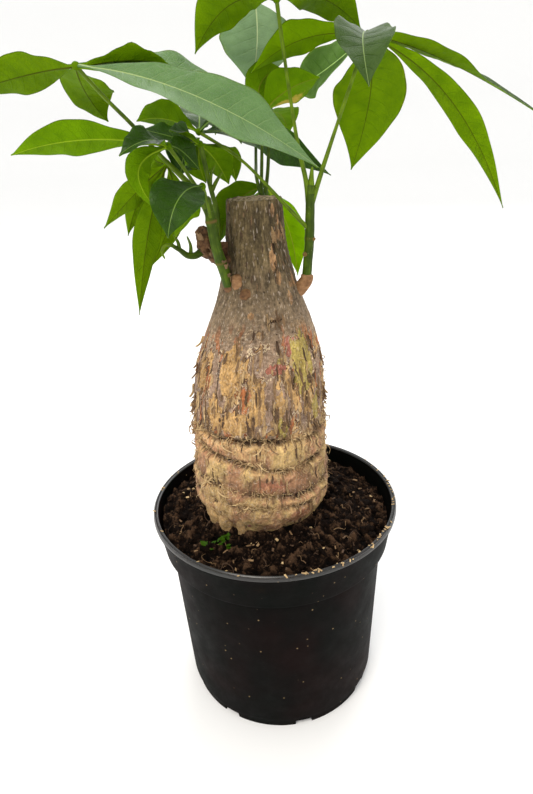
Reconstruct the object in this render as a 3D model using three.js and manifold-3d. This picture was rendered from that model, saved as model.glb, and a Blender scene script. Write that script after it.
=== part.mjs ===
// A money tree in a 13 cm nursery pot: a swollen, sawn-off trunk with green shoots and
// hand-shaped leaves. Millimetres, +Z up. The origin is on the table, under the middle of
// the pot. -Y is the side that is looked at first.
import * as THREE from 'three';
import { mergeVertices } from 'three/addons/utils/BufferGeometryUtils.js';
import Module from 'manifold-3d';

const wasm = await Module();
wasm.setup();

// ---------------------------------------------------------------- driving dimensions

const GAP = 0.3; // left between two pieces that touch
const STEM_STEP = 7; // rings on a stem are this many of its radii apart

const POT = {
  height: 113,
  rimRadius: 65, // outside of the rolled lip
  lipHeight: 3,
  lipWidth: 2.6,
  collarTop: 63.6, // outer radius of the collar under the lip
  collarFoot: 61, // outer radius where the collar ends
  collarHeight: 21,
  bodyTop: 57.4, // outer radius just under the collar
  bodyFoot: 53,
  footHeight: 6,
  footRadius: 52,
  wall: 1.4,
  floorLift: 3.4, // underside of the floor above the table
  padRadius: 12, // the middle of the floor comes down to the table
  drains: 8,
  drainRadius: 4,
  drainCircle: 36,
  notchWidth: 9,
  notchHeight: 3.2,
  groove: 0.6, // depth of the groove between the two ridges on the lip
  stepDrop: 2.4, // height of the slope inside, where the collar meets the body
  sides: 48,
};

const SOIL = {
  wallLevel: 103, // height of the surface against the pot
  heap: 19, // how much higher it would stand in the middle of the pot
  lump: 1.5, // how far the lumps go up and down
  play: 0.1, // extra room at the pot's wall
  rings: 6,
  sides: 32,
};

const TRUNK = {
  axis: [-2.5, 0], // the cut neck stands here
  swellX: -3, // the swollen foot leans this far to the left of the neck
  profile: [
    // [height, radius]
    [66, 9], [74, 17], [86, 22], [98, 25], [108, 27.3], [115, 31], [122, 34.3], [134, 34],
    [146, 33], [158, 32.6], [170, 32.3], [180, 31.9], [190, 30.7], [199, 28.8], [207, 25.9],
    [215, 22.8], [224, 19.4], [233, 16.6], [243, 14.4], [256, 12.7], [267, 12.1],
  ],
  creases: [
    // Rings round the foot, higher on the left by lean. Near the angle at (degrees), over the
    // half width span, a crease runs higher by sag.
    { level: 127, depth: 0.9, halfWidth: 1.5, lean: 0.6, at: -109, sag: 1.4, span: 30 },
    { level: 134, depth: 1.6, halfWidth: 1.7, lean: 3.3, at: -103, sag: 1.5, span: 35 },
    { level: 151.2, depth: 2, halfWidth: 1.8, lean: 4.2, at: -71, sag: -3.4, span: 26 },
    { level: 161.4, depth: 1.8, halfWidth: 1.7, lean: 3.4, at: -79, sag: 2.2, span: 40 },
  ],
  bulge: { away: 3, height: 0.5, halfWidth: 2.4 }, // the roll above and below each crease
  lobes: [0.014, 0.012], // how far it is out of round, as shares of its radius
  swollen: { from: 100, full: 118, fading: 215, gone: 250 }, // heights of the uneven part
  leaning: [165, 225], // heights between which the foot's lean goes back to the neck
  ringHeights: [
    66, 76, 88, 99, 108, 114, 119, 123, 125.2, 127, 129.2, 131.6, 134, 136.6, 140, 144, 147.8, 149.6,
    151.2, 153, 156, 159.2, 161.4, 163.6, 167, 173, 181, 189, 197, 206, 215, 224, 233, 243, 256, 267,
  ],
  sides: 30,
};

const BLADE = {
  thickness: 0.7,
  stations: 7, // steps along the rib
  widestAt: 0.55,
  stalkWidth: 1.4, // at the hub
  tipWidth: 0.5,
  hubRadius: 1.8, // of the ball where the leaflets meet
  hubPlay: 0.1, // extra room between that ball and the stalk that carries it
  startsAt: 1.1, // a leaflet starts this far from the middle of the hub
};

const COLOURS = {
  pot: 0x17191a,
  soil: 0x2a1c16,
  bark: 0x8d7556,
  stem: 0x4f7a25,
  thinStem: 0x3f6b22,
  leaf: 0x5f9a1e,
  olderLeaf: 0x4a7f3a,
};

// Green stems and leaf stalks: way points, and radii spread evenly along them.
const RIGHT_SHOOT = {
  stem: {
    way: [[17.4, -3, 229.4], [18, -3, 239], [19.1, -3, 248.5], [19.8, -3, 259], [20.4, -3, 274]],
    radii: [2.1, 2, 1.9, 1.8, 1.4],
  },
  stalks: [
    {
      way: [[20, -3, 265], [18.3, -3.4, 276], [15.7, -4, 289], [12.8, -4, 314], [10, -4, 338]],
      radii: [0.96, 0.81, 0.67, 0.67, 0.81],
    },
    {
      way: [[20, -3, 264], [23.4, -3, 271], [30.1, -4, 287.4], [38, -5, 307.7], [44.5, -6, 325]],
      radii: [0.96, 0.89, 0.7, 0.67, 0.89],
    },
    {
      way: [
        [19.4, -3, 254], [13.6, -6.4, 260.6], [9.7, -9, 265.2], [-7.2, -10, 283.2],
        [-23.4, -5, 294],
      ],
      radii: [0.89, 0.74, 0.63, 0.59, 0.74],
    },
  ],
};

const LEFT_SHOOT = {
  stem: {
    way: [
      [-15.5, -10, 231.8], [-17.4, -12, 240], [-19.2, -14, 248], [-20.6, -16, 260],
      [-21.6, -16, 270],
    ],
    radii: [2.4, 2.4, 2.3, 2.2, 1.6],
  },
  stalks: [
    {
      way: [
        [-21, -16, 263], [-25.4, -17, 272], [-37.6, -22, 286.5], [-45.2, -29, 297], [-51.7, -44.5, 307],
        [-57, -50, 314.7],
      ],
      radii: [1.18, 1.04, 0.81, 0.74, 0.67, 0.67],
    },
    {
      way: [[-21, -16, 261], [-22.8, -18, 269], [-27.4, -26, 279.7], [-32.6, -33, 289.6]],
      radii: [0.89, 0.81, 0.67, 0.81],
    },
    {
      way: [[-20.6, -16, 258], [-23.4, -14.4, 266], [-28.8, -11.4, 274], [-37.1, -9, 283]],
      radii: [0.89, 0.81, 0.67, 0.74],
    },
    { way: [[-20.5, -15.5, 258], [-20.8, -20, 266], [-22, -25, 274.6]], radii: [0.81, 0.67, 0.81] },
  ],
};

const BACK_SHOOT = {
  stem: {
    way: [[-1, 10, 236], [0, 14.6, 243], [0.6, 16.4, 256], [1, 17, 268]],
    radii: [2.2, 2, 1.8, 1.4],
  },
  stalks: [
    { way: [[0.8, 16.6, 258], [1, 16.6, 268], [2, 17, 285], [2.8, 17, 300]],
      radii: [0.96, 0.81, 0.74, 0.81] },
    {
      way: [[1, 17, 260], [4, 20, 274], [5.4, 23, 288], [8, 37, 312], [7, 45, 335], [2, 41, 347.4]],
      radii: [0.96, 0.81, 0.74, 0.67, 0.67, 0.81],
    },
    { way: [[1, 17, 264], [-1, 24, 274], [-1, 38, 279], [0, 54, 298.5]], radii: [0.81, 0.81, 0.74, 0.81] },
    { way: [[0.6, 16.4, 252], [3, 20, 259], [3.2, 25, 269.8]], radii: [0.89, 0.81, 0.81] },
  ],
};

// New growth from the dead knob: a thin upright stalk with two tiny leaves, and a sprout
// that curls over.
const KNOB_SHOOT = {
  stem: {
    way: [
      [-19.5, -4.4, 248.5], [-18.7, -5.4, 256], [-18.6, -6, 263], [-20.2, -7.4, 272],
      [-22.7, -12, 289.5],
    ],
    radii: [1.4, 1.2, 1, 0.9, 1],
  },
  stalks: [
    { way: [[-20, -7, 271], [-17.6, -9, 275], [-14.8, -9.8, 278.6]], radii: [0.9, 0.8, 0.35] },
    { way: [[-20.4, -7.6, 273], [-19.4, -9.4, 278], [-17.6, -10, 281.4]], radii: [0.8, 0.7, 0.35] },
  ],
};

const CURLED_SPROUT = {
  stem: {
    way: [
      [-26.6, -7.6, 246.4], [-29, -9, 245.2], [-32.2, -11, 245.8], [-35, -14, 248.8],
      [-37.6, -17, 251.3],
    ],
    radii: [1.7, 1.5, 1.3, 1, 0.8],
  },
  stalks: [
    { way: [[-37, -16.4, 251], [-40.2, -19, 251.8], [-41.6, -20, 249.4], [-40.7, -20, 246.4]],
      radii: [0.8, 0.7, 0.6, 0.35] },
    { way: [[-35, -14, 248.8], [-35.4, -14.6, 252.4], [-37, -15, 255.4]], radii: [0.9, 0.7, 0.35] },
    { way: [[-31, -10, 245.6], [-30.6, -11, 250], [-31.6, -12, 254]], radii: [1, 0.7, 0.35] },
  ],
};

// Wood that belongs to the trunk: the collars that the shoots stand in, a dead stub, the
// dead knob and the main roots in the soil.
const COLLARS = [
  { way: [[10, -2, 222], [15.6, -2.8, 227], [17.6, -3, 235]], radii: [5, 4.4, 3.1] },
  { way: [[-8, -5, 226], [-14.4, -9.4, 230], [-16.2, -11, 236]], radii: [6, 4.8, 3.4] },
  { way: [[-8, -8, 228], [-11.4, -13, 232], [-11, -15, 236.6]], radii: [4.5, 3.4, 2.2] },
  { way: [[-2, 6, 228], [-1.4, 9.6, 235], [-0.4, 13.6, 240.6]], radii: [5, 4.2, 3.2] },
];
const KNOB = {
  way: [[-10, -2, 239], [-19, -4, 245.4], [-24.2, -5.6, 248.8], [-25.8, -6, 257]],
  radii: [5, 4.6, 4.6, 2.2],
};
const FLARES = [
  // root stubs that leave the swollen foot just above the soil
  { way: [[-24, -11, 142], [-29, -15.5, 130], [-29.5, -17.5, 118], [-27.5, -17.5, 103]],
    radii: [6, 6.4, 5, 2.6] },
  { way: [[-20, -17, 139], [-23.5, -22, 128], [-24.5, -23, 117], [-23, -22, 103]], radii: [5, 5.4, 4, 2.2] },
  { way: [[-12, -22, 136], [-15, -26.5, 127], [-16.5, -27, 117], [-16.5, -25.5, 103]],
    radii: [4, 4, 2.8, 2] },
];
const ROOTS = {
  count: 6,
  startHeight: 88,
  reach: 43,
  endHeight: 44,
  radius: 4.2,
  endRadius: 1.6,
  turn: 0.5,
};

// Leaves. Each leaflet's rib leaves the hub, passes the point by and ends at the tip. faces
// is the way its upper side looks, width is its widest, fold lifts its two halves (degrees)
// and wave is how far its margins go up and down.
const UNDER = [0, 0.85, 0.5]; // hangs with its pale underside to the front
const UPPER = [0, -0.6, 0.8]; // shows its upper side to the front
const LEAVES = [
  { name: 'leaf_right_top', hub: [10, -4, 338], leaflets: [
    { by: [-9, 14, 340], tip: [-25, 26, 325], width: 20, faces: [-0.2, 0.8, 0.55], wave: 1.4 },
    { by: [29, 14, 341], tip: [47, 26, 331], width: 19, faces: [0.2, 0.8, 0.55], wave: 1.4 },
    { by: [17, 20, 349], tip: [28, 44, 345], width: 19, faces: [0.1, 0.2, 1] },
    { by: [-8, -20, 346], tip: [-20, -36, 341], width: 19, faces: [-0.2, -0.3, 1] },
    { by: [26, -18, 347], tip: [42, -30, 343], width: 19, faces: [0.2, -0.3, 1] },
  ] },
  { name: 'leaf_right_outer', hub: [44.5, -6, 325], leaflets: [
    { by: [38.9, -28, 320.6], tip: [38.7, -44, 305], width: 24, faces: [0, -0.7, 0.7], fold: 28 },
    { by: [50, 18, 305], tip: [43.7, 28, 274.7], width: 32, faces: [0, 0.95, 0.3], fold: 6, widest: 0.5 },
    { by: [82, 4, 300.6], tip: [108.3, 4, 257], width: 12, faces: [0.4, 0.8, 0.45], fold: 16 },
    { by: [81.4, 6, 315], tip: [131, 14, 290], width: 12, faces: [0.2, 0.8, 0.55], turn: 95, widest: 0.36 },
    { by: [21, 12, 327], tip: [-1, 16, 316], width: 16, faces: [-0.2, 0.75, 0.6] },
    { by: [31, 24, 316], tip: [16, 34, 309], width: 22, faces: [0, -0.9, 0.45] },
  ] },
  { name: 'leaf_right_inner', hub: [-23.4, -5, 294], leaflets: [
    { by: [2.4, 34, 289.5], tip: [35.7, 40, 272], width: 20, faces: [0, -0.85, 0.5] },
    { by: [-13.7, -12, 298], tip: [-6, -18, 289], width: 11, faces: [0.2, -0.75, 0.6] },
    { by: [-36.3, -4, 299.7], tip: [-49, 0, 299.3], width: 16, faces: [0, 0.7, 0.7], widest: 0.5 },
    { by: [-24, 9, 301], tip: [-27, 24, 303.5], width: 22, faces: [0, -0.35, 0.94] },
  ] },
  { name: 'leaf_left_outer', hub: [-57, -50, 314.7], leaflets: [
    { by: [-18.5, -62, 303.7], tip: [20, -56, 281], width: 24, faces: [0.2, -0.6, 0.8], fold: 12, widest: 0.64 },
    { by: [-77.3, -40, 313.9], tip: [-105.3, -28, 310], width: 14, faces: UNDER },
    { by: [-60, -28, 307.4], tip: [-56, -20, 299], width: 20, faces: [0.1, 0.9, 0.4], widest: 0.4 },
    { by: [-41.5, -42, 316.8], tip: [-29.4, -34, 315.6], width: 11, faces: [0, 0.5, 0.85] },
    { by: [-30.2, -38, 313], tip: [-3.6, -26, 304.3], width: 22, faces: [0.1, -0.45, 0.9] },
  ] },
  { name: 'leaf_left_upper', hub: [-22.7, -12, 289.5], leaflets: [
    { by: [-27.2, -18, 293.2], tip: [-33, -22, 295], width: 13, faces: [0, -0.5, 0.85], fold: 25 },
    { by: [-33, -14, 292.5], tip: [-45, -16, 296], width: 14, faces: [0, -0.5, 0.85] },
    { by: [-29.5, -5, 286.5], tip: [-33, -1, 277.5], width: 17, faces: [0.1, -0.85, 0.5] },
    { by: [-17.5, -2, 283], tip: [-13, 2, 273], width: 15, faces: [0.2, 0.95, 0.3] },
    { by: [-24.7, -2, 282.6], tip: [-23, 4, 273.8], width: 13, faces: [-0.2, 0.95, 0.3] },
    { by: [-24, 9, 284], tip: [-24, 28, 275], width: 16, faces: [0, 0.4, 0.9] },
    { by: [-13.4, 6, 284], tip: [-10.3, 12, 273], width: 11, faces: [0.2, 0.95, 0.3] },
  ] },
  { name: 'leaf_left_middle', hub: [-32.6, -33, 289.6], leaflets: [
    { by: [-38.7, -43, 291.7], tip: [-47.9, -47, 287.4], width: 13, faces: UPPER, fold: 25 },
    { by: [-62.2, -34, 293.3], tip: [-92.3, -28, 289.2], width: 14, faces: UNDER, widest: 0.62 },
    { by: [-43.2, -41, 281.6], tip: [-36.6, -41, 267], width: 10, faces: [-0.3, 0.9, 0.2], widest: 0.36 },
    { by: [-29.2, -21.5, 287.4], tip: [-23.5, -16, 280.2], width: 12, faces: [0.3, -0.8, 0.5] },
  ] },
  { name: 'leaf_left_low', hub: [-37.1, -9, 283], leaflets: [
    { by: [-50.6, -8, 273.2], tip: [-68.2, -4, 258], width: 12, faces: [-0.3, 0.8, 0.4] },
    { by: [-48, -8, 257.7], tip: [-57.3, -8, 219.6], width: 12, faces: [-0.3, 0.9, 0.2], wave: 1.4 },
    { by: [-39.2, 4, 262.4], tip: [-52.8, 8, 237.4], width: 15, faces: [-0.2, 0.95, 0.3] },
    { by: [-52.3, 6, 269.6], tip: [-61.4, 10, 252.2], width: 11, faces: [-0.2, 0.95, 0.3] },
    { by: [-42.4, -4, 284.5], tip: [-46, 2, 288.5], width: 13, faces: [-0.2, 0.9, 0.3] },
  ] },
  { name: 'leaf_left_front', hub: [-22, -25, 274.6], leaflets: [
    { by: [-29.2, -42, 272.2], tip: [-33.8, -50, 259.4], width: 21, faces: [0, -0.8, 0.6] },
    { by: [-27, -28, 266], tip: [-36, -20, 255], width: 11, faces: [-0.4, 0.6, 0.6] },
  ] },
  { name: 'leaf_back_middle', hub: [2.8, 17, 300], leaflets: [
    { by: [13.3, 10, 308.4], tip: [26.8, 2, 312], width: 20, faces: [0, 0.7, 0.7] },
    { by: [3, 21.6, 312.6], tip: [13, 24, 317.4], width: 15, faces: UNDER },
    { by: [-10, 26, 306], tip: [-22, 40, 300], width: 17, faces: [-0.2, 0.4, 0.9] },
  ] },
  { name: 'leaf_back_low', hub: [3.2, 25, 269.8], leaflets: [
    { by: [-11.5, 23, 263], tip: [-21.5, 15, 244], width: 20, faces: [-0.3, 0.8, 0.5] },
    { by: [13.4, 32, 250], tip: [17.6, 30, 225.3], width: 16, faces: [0.3, 0.9, 0.3] },
    { by: [2, 48, 257], tip: [2, 72, 240], width: 21, faces: [0, 0.5, 0.85] },
  ] },
  { name: 'leaf_back_top', hub: [2, 41, 347.4], leaflets: [
    { by: [2.2, 32, 329], tip: [-1.5, 26, 311], width: 33, faces: [0, -0.95, 0.3], fold: 6, widest: 0.48 },
    { by: [-16, 58, 358], tip: [-34, 72, 356], width: 19, faces: [-0.2, 0.3, 1] },
    { by: [20, 60, 359], tip: [38, 72, 356], width: 19, faces: [0.2, 0.3, 1] },
    { by: [2, 70, 361], tip: [3, 96, 359], width: 20, faces: [0, 0.3, 1] },
  ] },
  { name: 'leaf_back_rear', hub: [0, 54, 298.5], leaflets: [
    { by: [-14, 75, 303.5], tip: [-23, 90, 293], width: 20, faces: [-0.2, 0.4, 0.9] },
    { by: [-1, 85, 304], tip: [-3, 108, 290], width: 21, faces: [0, 0.4, 0.9] },
    { by: [12, 76, 302.4], tip: [18, 92, 291], width: 20, faces: [0.2, 0.4, 0.9] },
  ] },
];

// ---------------------------------------------------------------- solids and meshes

const vec = (point) => new THREE.Vector3(...point);

/** Joins doubled corners and drops what is not position. */
function welded(geometry) {
  const plain = geometry.index ? geometry.toNonIndexed() : geometry.clone();
  plain.deleteAttribute('normal');
  plain.deleteAttribute('uv');
  return mergeVertices(plain, 1e-4);
}

/** Turns a closed three.js geometry into a solid that can be cut and joined. */
function toSolid(geometry) {
  const shell = welded(geometry);
  return new wasm.Manifold(new wasm.Mesh({
    numProp: 3,
    vertProperties: new Float32Array(shell.attributes.position.array),
    triVerts: new Uint32Array(shell.index.array),
  }));
}

/** Turns a solid back into a three.js geometry. */
function toGeometry(solid) {
  const mesh = solid.getMesh();
  const geometry = new THREE.BufferGeometry();
  geometry.setAttribute('position', new THREE.BufferAttribute(new Float32Array(mesh.vertProperties), 3));
  geometry.setIndex(new THREE.BufferAttribute(new Uint32Array(mesh.triVerts), 1));
  return geometry;
}

/** Joins a list of solids into one. */
function joined(solids) {
  return solids.reduce((whole, next) => whole.add(next));
}

/** Makes the named mesh of one piece. */
function piece(name, solid, colour, roughness) {
  const geometry = toGeometry(solid);
  geometry.computeVertexNormals();
  const material = new THREE.MeshStandardMaterial({ color: colour, roughness, metalness: 0 });
  const mesh = new THREE.Mesh(geometry, material);
  mesh.name = name;
  return mesh;
}

/** A number between -1 and 1 that jumps about but is the same for the same input. */
function scatter(a, b) {
  const wild = Math.sin(a * 127.1 + b * 311.7) * 43758.5453;
  return 2 * (wild - Math.floor(wild)) - 1;
}

/** The value at one place on a list of [place, value] pairs, smoothed between them. */
function along(pairs, place) {
  const last = pairs.length - 1;
  if (place <= pairs[0][0]) return pairs[0][1];
  if (place >= pairs[last][0]) return pairs[last][1];
  const next = pairs.findIndex((pair) => pair[0] > place);
  const [from, to] = [pairs[next - 1], pairs[next]];
  const part = (place - from[0]) / (to[0] - from[0]);
  return THREE.MathUtils.lerp(from[1], to[1], part);
}

/** A closed shell through rings of corners, with a point in the middle of each end. */
function ringShell(rings, startPoint, endPoint) {
  const sides = rings[0].length;
  const corners = rings.flat(2);
  const triangles = [];
  for (let ring = 0; ring < rings.length - 1; ring += 1) {
    for (let side = 0; side < sides; side += 1) {
      const here = ring * sides + side;
      const beside = ring * sides + ((side + 1) % sides);
      triangles.push(here, beside, here + sides);
      triangles.push(beside, beside + sides, here + sides);
    }
  }
  const last = (rings.length - 1) * sides;
  const ends = corners.length / 3;
  corners.push(...startPoint, ...endPoint);
  for (let side = 0; side < sides; side += 1) {
    const beside = (side + 1) % sides;
    triangles.push(beside, side, ends);
    triangles.push(last + side, last + beside, ends + 1);
  }
  return closedGeometry(corners, triangles);
}

/** A geometry from its corners and triangles, turned right side out. */
function closedGeometry(corners, triangles) {
  const [a, b, c] = [new THREE.Vector3(), new THREE.Vector3(), new THREE.Vector3()];
  let volume = 0;
  for (let at = 0; at < triangles.length; at += 3) {
    a.fromArray(corners, 3 * triangles[at]);
    b.fromArray(corners, 3 * triangles[at + 1]);
    c.fromArray(corners, 3 * triangles[at + 2]);
    volume += a.dot(b.cross(c));
  }
  const geometry = new THREE.BufferGeometry();
  geometry.setAttribute('position', new THREE.Float32BufferAttribute(corners, 3));
  geometry.setIndex(volume > 0 ? triangles : [...triangles].reverse());
  return geometry;
}

/**
 * A round stem that follows way points and changes its thickness.
 * @param {{way: number[][], radii: number[]}} route way points, and radii spread evenly along them
 * @param {{grow: number, sides: number}} options grow is added to the radius, to cut a
 *   clear hole for the stem; sides are the corners of its section
 */
function stemGeometry(route, { grow = 0, sides = 6 } = {}) {
  const curve = new THREE.CatmullRomCurve3(route.way.map(vec));
  const thickest = Math.max(...route.radii);
  const steps = Math.max(3, Math.round(curve.getLength() / (STEM_STEP * thickest)));
  const frames = curve.computeFrenetFrames(steps);
  const radii = route.radii.map((radius, index) => [index / (route.radii.length - 1), radius + grow]);
  const rings = [];
  for (let step = 0; step <= steps; step += 1) {
    const reach = (step === steps) - (step === 0);
    const centre = curve.getPointAt(step / steps).addScaledVector(frames.tangents[step], reach * grow);
    const radius = along(radii, step / steps);
    const ring = [];
    for (let side = 0; side < sides; side += 1) {
      const angle = (2 * Math.PI * side) / sides;
      const corner = centre.clone();
      corner.addScaledVector(frames.normals[step], radius * Math.cos(angle));
      corner.addScaledVector(frames.binormals[step], radius * Math.sin(angle));
      ring.push(corner.toArray());
    }
    rings.push(ring);
  }
  const middleOf = (step, reach) => (
    curve.getPointAt(step / steps).addScaledVector(frames.tangents[step], reach * grow).toArray()
  );
  return ringShell(rings, middleOf(0, -1), middleOf(steps, 1));
}

const stemSolid = (route, options) => toSolid(stemGeometry(route, options));

/** Turns an outline of [radius, height] points round the Z axis. */
function turned(outline, sides) {
  const points = outline.map(([radius, height]) => new THREE.Vector2(radius, height));
  return new THREE.LatheGeometry(points, sides).rotateX(Math.PI / 2);
}

// ---------------------------------------------------------------- pot

/** Radius of the pot's outside at one height, between the foot and the collar. */
function potBodyRadius(height) {
  const collarStart = POT.height - POT.collarHeight;
  const part = (height - POT.footHeight) / (collarStart - POT.footHeight);
  return THREE.MathUtils.lerp(POT.bodyFoot, POT.bodyTop, part);
}

/** Radius of the pot's inside at one height. */
function potInnerRadius(height) {
  const collarStart = POT.height - POT.collarHeight;
  if (height < collarStart) return potBodyRadius(height) - POT.wall;
  const part = (height - collarStart) / POT.collarHeight;
  return THREE.MathUtils.lerp(POT.collarFoot, POT.collarTop, part) - POT.wall;
}

function buildPot() {
  const { height, wall, floorLift } = POT;
  const collarStart = height - POT.collarHeight;
  const lipStart = height - POT.lipHeight;
  const floorTop = floorLift + wall;
  const pad = [[0, 0], [POT.padRadius, 0], [POT.padRadius + 1.5, floorLift]];
  const foot = [
    [POT.footRadius - 3, floorLift],
    [POT.footRadius - 2.4, 0],
    [POT.footRadius, 0],
    [POT.bodyFoot - 0.2, POT.footHeight],
    [POT.bodyFoot + 0.5, POT.footHeight + 0.6],
  ];
  const collar = [
    [POT.bodyTop, collarStart - 0.4],
    [POT.collarFoot - 0.4, collarStart],
    [POT.collarFoot, collarStart + 1],
    [POT.collarTop - 0.3, lipStart - 1],
  ];
  const lip = [
    [POT.rimRadius - 0.2, lipStart + 0.3],
    [POT.rimRadius, height - 0.8],
    [POT.rimRadius - 0.5, height],
    [POT.rimRadius - 1.1, height - POT.groove],
    [POT.rimRadius - 1.8, height],
    [POT.rimRadius - POT.lipWidth, height - 0.9],
  ];
  const inside = [
    [potInnerRadius(height - 2), height - 2.4],
    [potInnerRadius(collarStart), collarStart + 1],
    [potInnerRadius(collarStart - 1), collarStart - POT.stepDrop],
    [potInnerRadius(floorTop), floorTop],
    [0, floorTop],
  ];
  const outline = [...pad, ...foot, ...collar, ...lip, ...inside];
  const cutters = [];
  for (let drain = 0; drain < POT.drains; drain += 1) {
    const angle = (2 * Math.PI * (drain + 0.5)) / POT.drains;
    const hole = new THREE.CylinderGeometry(POT.drainRadius, POT.drainRadius, 4 * floorLift, 12);
    hole.rotateX(Math.PI / 2);
    hole.translate(POT.drainCircle * Math.cos(angle), POT.drainCircle * Math.sin(angle), floorLift);
    cutters.push(toSolid(hole));
    const notch = new THREE.BoxGeometry(POT.bodyFoot / 4, POT.notchWidth, 2 * POT.notchHeight);
    notch.translate(POT.footRadius, 0, 0).rotateZ(angle - Math.PI / 2 / POT.drains);
    cutters.push(toSolid(notch));
  }
  return toSolid(turned(outline, POT.sides)).subtract(joined(cutters));
}

// ---------------------------------------------------------------- trunk

/** Distance of the bark from the trunk's own axis. */
function trunkRadius(angle, height) {
  const base = along(TRUNK.profile, height);
  const { from, full, fading, gone } = TRUNK.swollen;
  const below = THREE.MathUtils.smoothstep(height, from, full);
  const swell = below * (1 - THREE.MathUtils.smoothstep(height, fading, gone));
  const [twofold, threefold] = TRUNK.lobes;
  const lobes = twofold * Math.sin(2 * angle + 0.8) + threefold * Math.sin(3 * angle + height / 26);
  let radius = base * (1 + swell * lobes);
  const { away: shift, height: roll, halfWidth: rollWidth } = TRUNK.bulge;
  for (const crease of TRUNK.creases) {
    const away = height - crease.level - creaseShift(crease, angle);
    const strength = 0.75 + 0.25 * Math.sin(2 * angle + crease.level);
    const rolls = bell(away - shift, rollWidth) + bell(away + shift, rollWidth);
    radius += crease.depth * strength * (roll * rolls - bell(away, crease.halfWidth));
  }
  return radius;
}

/** 1 at no distance, falling away past the half width. */
const bell = (distance, halfWidth) => Math.exp(-((distance / halfWidth) ** 2));

/** How much higher a crease runs at one angle than its level. */
function creaseShift({ lean, at, sag, span }, angle) {
  const turn = THREE.MathUtils.euclideanModulo(THREE.MathUtils.radToDeg(angle) - at + 180, 360) - 180;
  return sag * bell(turn, span) - lean * Math.cos(angle);
}

/** The height of a ring of corners at one angle: near a crease, it follows the crease. */
function ringHeight(level, angle) {
  return TRUNK.creases.reduce(
    (height, crease) => height + creaseShift(crease, angle) * bell(level - crease.level, 4),
    level,
  );
}

/** How far the trunk's middle stands to the side at one height. */
function trunkLean(height) {
  return TRUNK.swellX * (1 - THREE.MathUtils.smoothstep(height, ...TRUNK.leaning));
}

/** The trunk without its collars, knob and roots. */
function trunkBarrel(grow) {
  const [bottom, top] = [TRUNK.profile[0][0], TRUNK.profile[TRUNK.profile.length - 1][0]];
  const [axisX, axisY] = TRUNK.axis;
  const rings = [];
  for (const level of TRUNK.ringHeights) {
    const ring = [];
    for (let side = 0; side < TRUNK.sides; side += 1) {
      const angle = (2 * Math.PI * side) / TRUNK.sides;
      const height = ringHeight(level, angle);
      const radius = trunkRadius(angle, height) + grow;
      const x = axisX + trunkLean(height) + radius * Math.cos(angle);
      ring.push([x, axisY + radius * Math.sin(angle), height]);
    }
    rings.push(ring);
  }
  const foot = [axisX + trunkLean(bottom), axisY, bottom - 3 - grow];
  return toSolid(ringShell(rings, foot, [axisX, axisY, top + 0.4]));
}

/** The main roots that hold the trunk in the soil. */
function rootSolids(grow) {
  const middle = TRUNK.axis[0] + TRUNK.swellX;
  const solids = [];
  for (let root = 0; root < ROOTS.count; root += 1) {
    const angle = ROOTS.turn + (2 * Math.PI * (root + 0.25 * scatter(root, 3))) / ROOTS.count;
    const reach = ROOTS.reach * (0.9 + 0.1 * scatter(root, 5));
    const point = (distance, height, twist) => [
      middle + distance * Math.cos(angle + twist),
      distance * Math.sin(angle + twist),
      height,
    ];
    const way = [
      point(10, ROOTS.startHeight, 0),
      point(0.5 * reach, 0.6 * ROOTS.startHeight + 0.4 * ROOTS.endHeight, 0.1),
      point(reach, ROOTS.endHeight, 0.25),
    ];
    const radii = [ROOTS.radius, 0.7 * ROOTS.radius, ROOTS.endRadius];
    solids.push(stemSolid({ way, radii }, { grow, sides: 6 }));
  }
  return solids;
}

/** The trunk's part that reaches below the soil surface, grown by a clearance or not. */
function buriedTrunk(grow) {
  const flares = FLARES.map((flare) => stemSolid(flare, { grow, sides: 7 }));
  return joined([trunkBarrel(grow), ...rootSolids(grow), ...flares]);
}

function buildTrunk() {
  const wood = [...COLLARS, KNOB].map((collar) => stemSolid(collar, { sides: 9 }));
  return joined([buriedTrunk(0), ...wood]);
}

// ---------------------------------------------------------------- soil

/** Height of the soil surface: heaped against the trunk, lumpy all over. */
function soilHeight(angle, part) {
  const heap = SOIL.heap * (1 - part) ** 1.2;
  const edge = part > 0.97 ? 0 : 1;
  return SOIL.wallLevel + heap + edge * SOIL.lump * scatter(Math.round(12 * angle), Math.round(9 * part));
}

/** A level circle of corners round the pot's middle, at a height given for each angle. */
function levelRing(radius, heightAt) {
  const ring = [];
  for (let side = 0; side < SOIL.sides; side += 1) {
    const angle = (2 * Math.PI * side) / SOIL.sides;
    ring.push([radius * Math.cos(angle), radius * Math.sin(angle), heightAt(angle)]);
  }
  return ring;
}

function buildSoil() {
  const floorTop = POT.floorLift + POT.wall + GAP;
  const collarStart = POT.height - POT.collarHeight;
  const clear = GAP + SOIL.play;
  const wallRadius = potInnerRadius(SOIL.wallLevel) - clear;
  const rings = [];
  for (let ring = 1; ring <= SOIL.rings; ring += 1) {
    const part = ring / SOIL.rings;
    rings.push(levelRing(part * wallRadius, (angle) => soilHeight(angle, part)));
  }
  rings.push(levelRing(potInnerRadius(collarStart) - clear, () => collarStart + 1 + clear));
  const stepFoot = collarStart - POT.stepDrop + clear;
  rings.push(levelRing(potInnerRadius(collarStart - 1) - clear, () => stepFoot));
  rings.push(levelRing(potInnerRadius(floorTop) - clear, () => floorTop));
  const shell = ringShell(rings, [0, 0, SOIL.wallLevel + SOIL.heap], [0, 0, floorTop]);
  return toSolid(shell).subtract(buriedTrunk(GAP));
}

// ---------------------------------------------------------------- shoots and leaves

/** The width of a leaflet at one place of its rib, as a share of its width at the peak. */
function outlineAt(place, peak) {
  if (place < peak) return Math.sin((Math.PI / 2) * (place / peak)) ** 1.4;
  return Math.sin((Math.PI / 2) * ((1 - place) / (1 - peak))) ** 1.2;
}

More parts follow.
